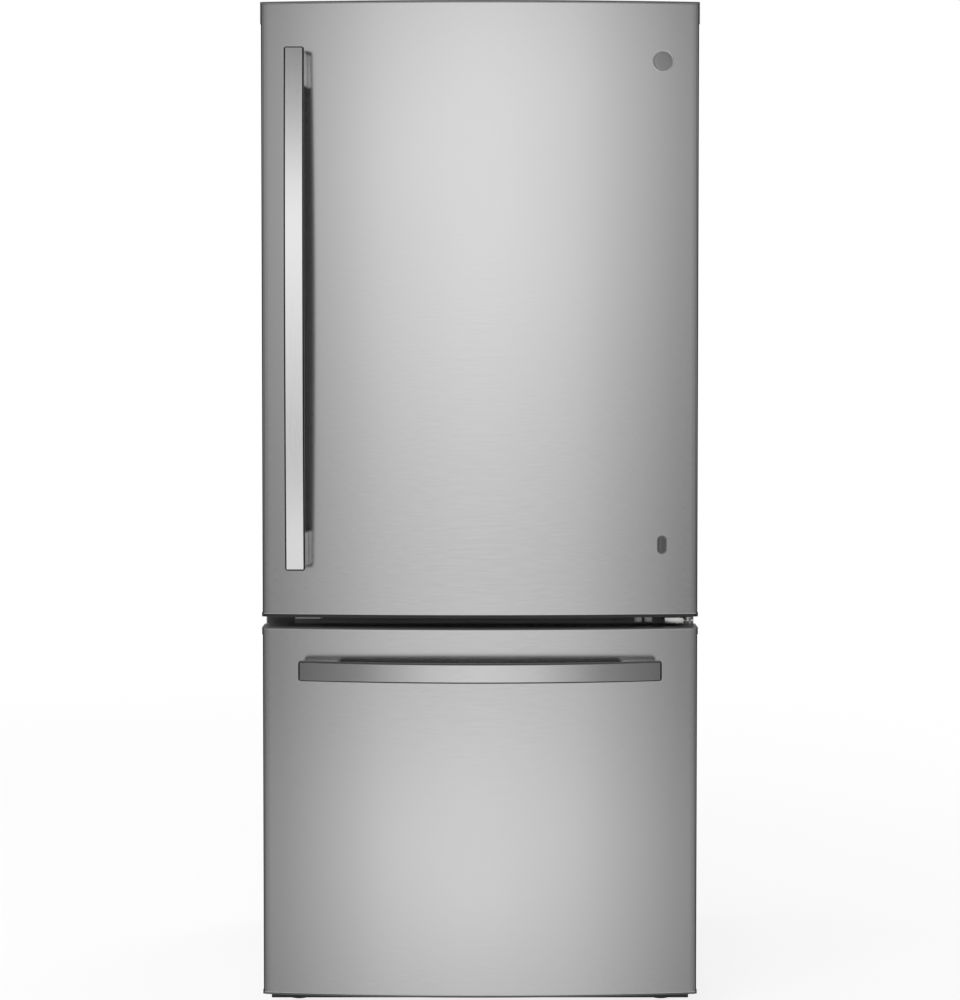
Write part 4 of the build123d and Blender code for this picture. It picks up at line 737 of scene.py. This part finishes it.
def handleBar(node, bar):
    half, deep, cut = barSection["width"] / 2, barSection["thickness"], barSection["chamfer"]
    back, length = barSection["back"], bar["length"]
    radius = arcRadius(length, bar["rise"])
    corner, cornerSteps, steps = barSection["corner"], barSection["cornerSteps"], barSection["steps"]

    def section(inset, face):
        # the outline, drawn in at the bar's rounded ends; face 0 closes the chamfer at the very end
        wide = half - inset
        rim = cut * face
        return [(-wide + rim, cut - rim), (wide - rim, cut - rim), (wide, cut), (wide, deep - back),
                (wide - back, deep), (-wide + back, deep), (-wide, deep - back), (-wide, cut)]

    stations = []
    for step in range(cornerSteps):
        turn = math.pi / 2 * step / cornerSteps
        place = corner * (1 - math.cos(turn))
        stations.append((place, section(corner * (1 - math.sin(turn)), min(1.0, place / cut))))
    mirrored = [(length - place, outline) for place, outline in reversed(stations)]
    stations += [(corner + (length - 2 * corner) * step / steps, section(0, 1)) for step in range(steps + 1)]
    stations += mirrored
    rings = []
    for place, outline in stations:
        sag = sagAt(radius, place - length / 2)
        ring = []
        for across, depth in outline:
            spot = [0, bar["crownY"] + sag + depth, 0]
            spot[bar["along"]] = bar["low"] + place
            spot[2 - bar["along"]] = bar["across"] + across
            ring.append(spot)
        rings.append(ring)
    shape = bmesh.new()
    loft(shape, rings)
    piece = shaped(node + "_piece", shape, bar["finish"], bodyOf[node], node, width=barSection["edge"],
                   steps=3, angle=25)
    # painted shade and highlight: the face takes the brighter steel, its chamfers and sides a near-black copy
    # of it, its back a darker copy; all are one stainless
    piece.data.materials.append(finishes["barShade"])
    piece.data.materials.append(finishes["mountSteel"])
    limit = barSection["faceTurn"]
    for face in piece.data.polygons:
        face.material_index = 0 if face.normal.y < -limit else 2 if face.normal.y > limit else 1


for node, bar in bars.items():
    handleBar(node, bar)

# handle mounts: cast blocks that flare from the door's face out to the bar's end
mountSizes = {"door_handle_mounts": {"bar": "door_handle_bar", "foot": (0.0165, 0.030), "offset": 0.0030,
                                     "head": (0.0168, 0.0315), "ends": (0.783, 1.663)},
              "drawer_handle_mounts": {"bar": "drawer_handle_bar", "foot": (0.0145, 0.030), "offset": 0.0,
                                       "head": (0.0160, 0.0325), "ends": (-0.3035, 0.3035)}}
# steps from the door's face to the bar: how far along, and how much of the flare is reached
mountShape = {"depths": (0, 0.10, 0.30, 0.55, 0.80, 1.0), "flares": (0, 0.0, 0.15, 0.5, 0.9, 1.0),
              "sink": 0.0012, "length": 0.060, "corner": 0.006, "edge": 0.0010}


def ovalRing(half, corner, steps=5):
    # outline of a rounded rectangle about the origin, right to left
    points = []
    for turn, (x, y) in enumerate(((1, 1), (-1, 1), (-1, -1), (1, -1))):
        for step in range(steps + 1):
            angle = math.pi / 2 * (turn + step / steps)
            points.append((x * (half[0] - corner) + corner * math.cos(angle),
                           y * (half[1] - corner) + corner * math.sin(angle)))
    return points


def handleMounts(node, sizes):
    bar = bars[sizes["bar"]]
    radius = arcRadius(bar["length"], bar["rise"])
    middle, back = bar["low"] + bar["length"] / 2, bar["crownY"] + barSection["thickness"]
    shape = bmesh.new()
    for end in sizes["ends"]:
        inward = 1 if end < middle else -1
        rings = []
        for depth, flare in zip(mountShape["depths"], mountShape["flares"]):
            half = [foot + (head - foot) * flare for foot, head in zip(sizes["foot"], sizes["head"])]
            place = end + inward * (mountShape["length"] - half[1])
            ring = []
            for across, along in ovalRing(half, mountShape["corner"]):
                far, side = place + along, bar["across"] + sizes["offset"] * (1 - flare) + across
                head = back + sagAt(radius, far - middle) - mountShape["sink"]
                x, z = (side, far) if bar["along"] == 2 else (far, side)
                foot = bowY(x) + mountShape["sink"]
                ring.append((x, foot + (head - foot) * depth, z))
            rings.append(ring)
        loft(shape, rings)
    # the mounts take the darker copy of the steel: painted shade on their sides
    shaped(node + "_piece", shape, "mountSteel", bodyOf[node], node, width=mountShape["edge"], steps=2,
           angle=50)


for node, sizes in mountSizes.items():
    handleMounts(node, sizes)
print("handles made")


# blank badge and blank tag: a raised rim round a slightly domed dish, both bent to the bowed face

trim = {"badge": {"place": (0.314, 1.649), "half": (0.0185, 0.0185), "proud": 0.0014, "finish": "badgeMetal",
                  "rim": "badgeRim"},
        "tag": {"place": (0.314, 0.818), "half": (0.0085, 0.0163), "proud": 0.0012, "finish": "tagMetal",
                "rim": "mountSteel"}}
# each step of the face: how far inside the outline, and how high as a share of the full height
trimSteps = ((0, -0.4), (0, 0.55), (0.0001, 0.8), (0.0004, 0.97), (0.0009, 1.0), (0.0014, 0.93),
             (0.0017, 0.62), (0.0019, 0.5), (0.0024, 0.48), (0.0040, 0.52), (0.0062, 0.56), (0.0080, 0.58))

trimRim = 0.0016


def trimOutline(half, inset, sides=48):
    # stadium or circle, inset towards its middle
    radius = max(half[0] - inset, 0.0002)
    straight = half[1] - half[0]
    points = []
    for side in range(sides):
        angle = math.tau * side / sides
        lift = straight if math.sin(angle) > 1e-9 else -straight if math.sin(angle) < -1e-9 else 0
        points.append((radius * math.cos(angle), radius * math.sin(angle) + lift))
    return points


def trimShape(values):
    x0, z0 = values["place"]
    rings = [[(x0 + x, bowY(x0 + x) - rise * values["proud"], z0 + z)
              for x, z in trimOutline(values["half"], inset)] for inset, rise in trimSteps]
    shape = bmesh.new()
    loft(shape, rings)
    return shape


for name, values in trim.items():
    stands = ("front_badges",) if name == "badge" else ()
    plate = shaped("blank_" + name, trimShape(values), values["finish"], "door", *stands, angle=35)
    # the rim is polished, the dish inside it satin
    plate.data.materials.append(finishes[values["rim"]])
    for face in plate.data.polygons:
        across, along = face.center.x - values["place"][0], abs(face.center.z - values["place"][1])
        along = max(0.0, along - (values["half"][1] - values["half"][0]))
        face.material_index = int(math.hypot(across, along) > values["half"][0] - trimRim)


# the gap between the fronts, hinges and the top

# the stop hangs a little lower than its collision block, clear of the drawer's cap
doorStop = {"top": 0.6932, "stretch": 1.4}
stop = softCopy("door_stop", "stopNylon", 0.0010, 3)
for corner in stop.data.vertices:
    corner.co.z = doorStop["top"] - (doorStop["top"] - corner.co.z) * doorStop["stretch"]
softCopies(("center_hinge", "brightSteel", 0.0007), ("center_rail", "casePaint", 0.0006),
           ("top_hinge", "brightSteel", 0.0006), ("top_hinge_cover", "capTrim", 0.0018), steps=3)

# strips rolled at both long edges: dark ones laid on the case behind the gap as painted shade, and the
# freezer's sill of painted steel
strips = {"gap_shade_strip": {"spans": ((-0.3745, -0.3265), (0.3265, 0.3745)), "low": 0.6665, "high": 0.6985,
                        "face": -0.27365, "finish": "capTrim"},
          "front_sill": {"spans": ((-0.3322, 0.3322),), "low": 0.0522, "high": 0.1040, "face": -0.2735,
                         "finish": "casePaint"}}
stripRoll, stripBack = 0.0006, -0.2726

for name, strip in strips.items():
    shape = bmesh.new()
    low, high, face = strip["low"], strip["high"], strip["face"]
    edge = [(face + stripRoll, 0), (face + 0.3 * stripRoll, 0.3 * stripRoll), (face, stripRoll)]
    section = [(stripBack, low)] + [(y, low + rise) for y, rise in edge]
    section += [(y, high - rise) for y, rise in reversed(edge)] + [(stripBack, high)]
    for left, right in strip["spans"]:
        loft(shape, [[(x, y, z) for y, z in section] for x in (left, right)])
    shaped(name, shape, strip["finish"], "cabinet", angle=50)
print("trim and hinges made")


# seals: a flange, two bellows folds and the magnet's bulb, run round each door

gaskets = {"door_gasket": {"middle": 1.196, "half": (0.3355, 0.4935)},
           "drawer_gasket": {"middle": 0.3825, "half": (0.3355, 0.2820)}}
gasketSection = [(0.0060, -0.2865), (0.0067, -0.2857), (0.0046, -0.2844), (0.0032, -0.2834),
                 (0.0056, -0.2821), (0.0057, -0.2813), (0.0034, -0.2802), (0.0055, -0.2791),
                 (0.0073, -0.2778), (0.0075, -0.2756), (0.0067, -0.2743), (0.0052, -0.2738)]
gasketCorner = 0.010

for node, sizes in gaskets.items():
    section = gasketSection + [(-offset, y) for offset, y in reversed(gasketSection)]
    rings = []
    for offset, y in section:
        half = [size + offset for size in sizes["half"]]
        rings.append([(x, y, sizes["middle"] + z) for x, z in ovalRing(half, gasketCorner + offset, 6)])
    shape = bmesh.new()
    loft(shape, rings, capped=False, looped=True)
    shaped(node + "_piece", shape, "gasketGrey", bodyOf[node], node, angle=75)


# fans: blades that twist and sweep, grown round a turned hub

fanTurns = {"condenser_fan": Matrix(((0, 0, 1, 0.0200), (1, 0, 0, 0.3425), (0, 1, 0, 0.1500), (0, 0, 0, 1))),
            "evaporator_fan": Matrix(((0, 1, 0, 0.0), (0, 0, 1, 0.3125), (1, 0, 0, 0.5780), (0, 0, 0, 1)))}
fans = {"condenser_fan": {"hub": 0.0150, "tip": 0.0612, "pitch": 0.0155, "hubLength": 0.0090},
        "evaporator_fan": {"hub": 0.0125, "tip": 0.0494, "pitch": 0.0135, "hubLength": 0.0085}}
bladeSizes = {"blades": 5, "chord": 0.95, "taper": 0.22, "sweep": 0.30, "cup": 0.0022}
bladeShape = {"root": 0.9, "tipPower": 9.0, "tipRound": 0.45, "flatten": 0.42, "wall": 0.0014, "edge": 0.0003}


def fanRecipe():
    tree = Recipe("fanBlades", hub=0.015, tip=0.06, pitch=0.015, **bladeSizes)
    grid, out, across = tree.sheet(13, 9)
    middle, root = across - 0.5, tree["hub"] * bladeShape["root"]
    radius = root + out * (tree["tip"] - root)
    # the chord narrows to the tip, whose corners are rounded
    narrow = 1 - out * tree["taper"] - tree.power(out, bladeShape["tipPower"]) * bladeShape["tipRound"]
    angle = middle * tree["chord"] * narrow + out * tree["sweep"]
    rise = middle * tree["pitch"] * (1 - out * bladeShape["flatten"]) * narrow
    rise += (0.25 - middle * middle) * tree["cup"] * 4
    side, up = radius * tree.join("COSINE", angle), radius * tree.join("SINE", angle)
    blade = tree.moved(grid, tree.vector(side, up, rise))
    points = tree.node("GeometryNodeMeshLine", {"Count": tree["blades"], "Offset": (0, 0, 0)})
    turn = tree.node("GeometryNodeInputIndex") * math.tau / tree["blades"]
    tree.end(tree.copies(points, blade, Rotation=tree.vector(0.0, 0.0, turn)), "fanGrey")
    return tree


blades = fanRecipe()
for node, sizes in fans.items():
    grown(blades, node + "_blades", "fanGrey", bodyOf[node], node, turn=fanTurns[node],
          sizes={name: sizes[name] for name in ("hub", "tip", "pitch")},
          wall=bladeShape["wall"], edge=bladeShape["edge"])
    # dished back, rim, barrel, crown and the hole of the motor's shaft
    hub, end, back = sizes["hub"], sizes["hubLength"], -sizes["hubLength"]
    profile = [(back, 0.0), (back, hub * 0.55), (back + 0.0008, hub * 0.62), (back + 0.0008, hub * 0.86),
               (back + 0.0002, hub * 0.9), (back + 0.001, hub), (end * 0.72, hub), (end * 0.9, hub * 0.92),
               (end, hub * 0.74), (end, hub * 0.24), (end - 0.0012, hub * 0.2), (end - 0.0012, 0.0)]
    shape = bmesh.new()
    turned(shape, profile, (0, 0, 0), 2, 40)
    shaped(node + "_hub", shape, "fanGrey", bodyOf[node], angle=30, turn=fanTurns[node])
print("seals and fans made")


# rollers and leveling legs, turned

sideX, legY = 0.322, -0.2315
rollers = {"front_rollers": (-0.1795, 0.022), "rear_rollers": (0.3805, 0.019)}
rollerSection = [(-0.0110, 0.0046), (-0.0110, 0.0076), (-0.0098, 0.0084), (-0.0088, 0.0134),
                 (-0.0110, 0.0146), (-0.0110, 0.0176), (-0.0104, 0.0186), (-0.0092, 0.0190)]
for node, (y, z) in rollers.items():
    shape = bmesh.new()
    for x in (-sideX, sideX):
        section = rollerSection + [(-along, radius) for along, radius in reversed(rollerSection)]
        turned(shape, section, (x, y, z), 0, closed=True)
    shaped(node + "_piece", shape, "rollerPlastic", bodyOf[node], node)

foot = [(0, 0), (0, 0.0165), (0.0006, 0.0182), (0.0016, 0.0190), (0.0036, 0.0189), (0.0046, 0.0180),
        (0.0050, 0.0160), (0.0056, 0.0090), (0.0056, 0)]
stem = {"low": 0.0050, "nut": 0.0130, "top": 0.0415, "radius": 0.0060, "depth": 0.0007, "pitch": 0.00125}
# the stem's hexagon, eased at both ends: height and reach
hexagon = ((0.0054, 0.0068), (0.0061, 0.0075), (0.0117, 0.0075), (0.0124, 0.0068))
root = stem["radius"] - stem["depth"]
for node, x in (("leg_right", sideX), ("leg_left", -sideX)):
    shape = bmesh.new()
    turned(shape, foot, (x, legY, 0), 2)
    shaped(node + "_foot", shape, "footRubber", bodyOf[node], node)
    shape = bmesh.new()
    profile = [(stem["low"], 0), (stem["low"], root)]
    place = stem["nut"]
    while place < stem["top"] - stem["pitch"]:
        profile += [(place, root), (place + stem["pitch"] / 2, stem["radius"])]
        place += stem["pitch"]
    profile += [(stem["top"], root), (stem["top"], 0)]
    turned(shape, profile, (x, legY, 0), 2, 28)
    corners = [(math.cos(math.tau * side / 6), math.sin(math.tau * side / 6)) for side in range(6)]
    loft(shape, [[(x + reach * right, legY + reach * back, z) for right, back in corners]
                 for z, reach in hexagon])
    shaped(node + "_stem", shape, "brightSteel", bodyOf[node], angle=25)


# screws: hexagonal heads on washers, at every place where the frame has one

screwSizes = {"sides": 6, "washerSides": 24, "washer": 1.28, "washerTall": 0.22, "dome": 0.8}
# screws ahead of frontFace look forwards; the crown is drawn in by a power of its height
screwShape = {"frontFace": -0.27, "crownPower": 7.0, "edge": 0.0002}


def screwRecipe():
    # grown on points that carry the way they face and their radius and height
    tree = Recipe("screws", **screwSizes)
    place = tree.node("GeometryNodeInputPosition")
    heads = []
    washer = (tree["washerSides"], tree["washer"], tree["washerTall"])
    for sides, radius, tall in ((tree["sides"], 1.0, 1.0), washer):
        body = tree.node("GeometryNodeMeshCylinder", {"Vertices": sides, "Side Segments": 4,
                                                      "Radius": radius, "Depth": tall})
        height = tree.node("ShaderNodeSeparateXYZ", {"Vector": place}, out=2) / tall + 0.5
        # drawn in towards the top as a shallow crown
        draw = 1 - (1 - tree["dome"]) * tree.power(height, screwShape["crownPower"])
        lifted = tree.node("ShaderNodeVectorMath", {0: place, 1: tree.vector(draw, draw, 1.0)},
                           operation="MULTIPLY")
        rise = tree.vector(0.0, 0.0, tree.join("MULTIPLY", tall, 0.5))
        raised = tree.node("ShaderNodeVectorMath", {0: lifted, 1: rise}, operation="ADD")
        heads.append(tree.moved(body, raised))
    facing, measure = [tree.node("GeometryNodeInputNamedAttribute", {"Name": name}, data_type="FLOAT_VECTOR")
                       for name in ("facing", "measure")]
    turn = tree.node("FunctionNodeAlignRotationToVector", {"Vector": facing}, axis="Z")
    tree.end(tree.copies(tree.seed, tree.joined(*heads), Rotation=turn, Scale=measure), "brightSteel")
    return tree


points, facings, measures = [], [], []
for low, high in looseParts("case_screws"):
    size = high - low
    axis = min(range(3), key=lambda side: size[side])
    sign = -1 if high.y < screwShape["frontFace"] else 1
    base = (low + high) / 2
    base[axis] = low[axis] if sign > 0 else high[axis]
    points.append(base)
    facings += [sign * float(axis == side) for side in range(3)]
    measures += [max(size) / 2, max(size) / 2, size[axis]]
seed = bpy.data.meshes.new("screwPlaces")
seed.from_pydata(points, [], [])
for name, values in (("facing", facings), ("measure", measures)):
    seed.attributes.new(name, "FLOAT_VECTOR", "POINT").data.foreach_set("vector", values)
grown(screwRecipe(), "case_screws_piece", "brightSteel", "cabinet", "case_screws", seed=seed,
      edge=screwShape["edge"])


# louvres of the machine compartment's cover: pressed hoods, open downwards, over its slots

louvres = {"columns": 3, "rows": 5, "spaceAcross": 0.190, "spaceUp": 0.030, "length": 0.137, "height": 0.0125,
           "bulge": 0.0046}
louvrePlace = {"middle": (0.0, 0.4343, 0.1730), "drop": 0.0018, "wall": 0.0008}
# powers that close a hood's ends, and that swell it towards its mouth
louvreShape = {"endPower": 12.0, "endSoft": 0.6, "swell": 2.2}


def louvreRecipe():
    tree = Recipe("louvres", **louvres)
    grid, along, down = tree.sheet(33, 9)
    side = tree.join("ABSOLUTE", along * 2 - 1)
    closing = tree.power(1 - tree.power(side, louvreShape["endPower"]), louvreShape["endSoft"])
    out = tree["bulge"] * (1 - tree.power(1 - down, louvreShape["swell"])) * closing
    hood = tree.moved(grid, tree.vector((along - 0.5) * tree["length"], (0.5 - down) * tree["height"], out))
    points = tree.node("GeometryNodeMeshGrid",
                       {"Size X": (tree["columns"] - 1) * tree["spaceAcross"],
                        "Size Y": (tree["rows"] - 1) * tree["spaceUp"],
                        "Vertices X": tree["columns"], "Vertices Y": tree["rows"]})
    tree.end(tree.copies(points, hood), "zinc")
    return tree


x, y, z = louvrePlace["middle"]
toBack = Matrix(((-1, 0, 0, x), (0, 0, 1, y), (0, 1, 0, z + louvrePlace["drop"]), (0, 0, 0, 1)))
grown(louvreRecipe(), "machine_cover_louvres", "zinc", "cabinet", wall=louvrePlace["wall"], turn=toBack)
print("rollers, legs, screws and louvres made")


# case, back and base

softCopies(("outer_case", "casePaint", 0.0006), ("back_panel", "zinc", 0.0006),
           ("base_grille", "darkTrim", 0.0005), ("base_rails", "zinc", 0.0006),
           ("machine_cover", "zinc", 0.0005))

# cooling system: the coils' round tubes need no softened edge

softCopies(("compressor", "compressorBlack", 0.0008), angle=42)
softCopies(("condenser_coil", "coilBlack", 0), angle=35)
softCopies(("condenser_fan_motor", "fanGrey", 0.0006), ("drain_pan", "coverGrey", 0.001), angle=42)
softCopies(("evaporator", "coilAluminium", 0), angle=35)
softCopies(("evaporator_cover", "whiteBin", 0.0008), angle=42)

# inside of the cabinet and the doors

softCopies(("fresh_food_liner freezer_liner door_liner drawer_liner", "linerWhite", 0.0025),
           ("air_duct", "whiteBin", 0.0015), ("control_panel", "whiteBin", 0.0012),
           ("light_lens", "lens", 0.0012), ("shelf_tracks", "whiteBin", 0.0005),
           ("shelf_brackets", "shelfTrim", 0.0008), ("shelf_frames", "shelfTrim", 0.0012),
           ("shelf_glass", "shelfGlass", 0.0005),
           ("crisper_right crisper_left door_bins dairy_bin dairy_lid", "clearBin", 0.0008),
           ("freezer_rails_outer drawer_rails_middle drawer_rails_inner", "zinc", 0.0004),
           ("lower_basket upper_basket", "whiteBin", 0.0010))
print("inside made")

print("done")
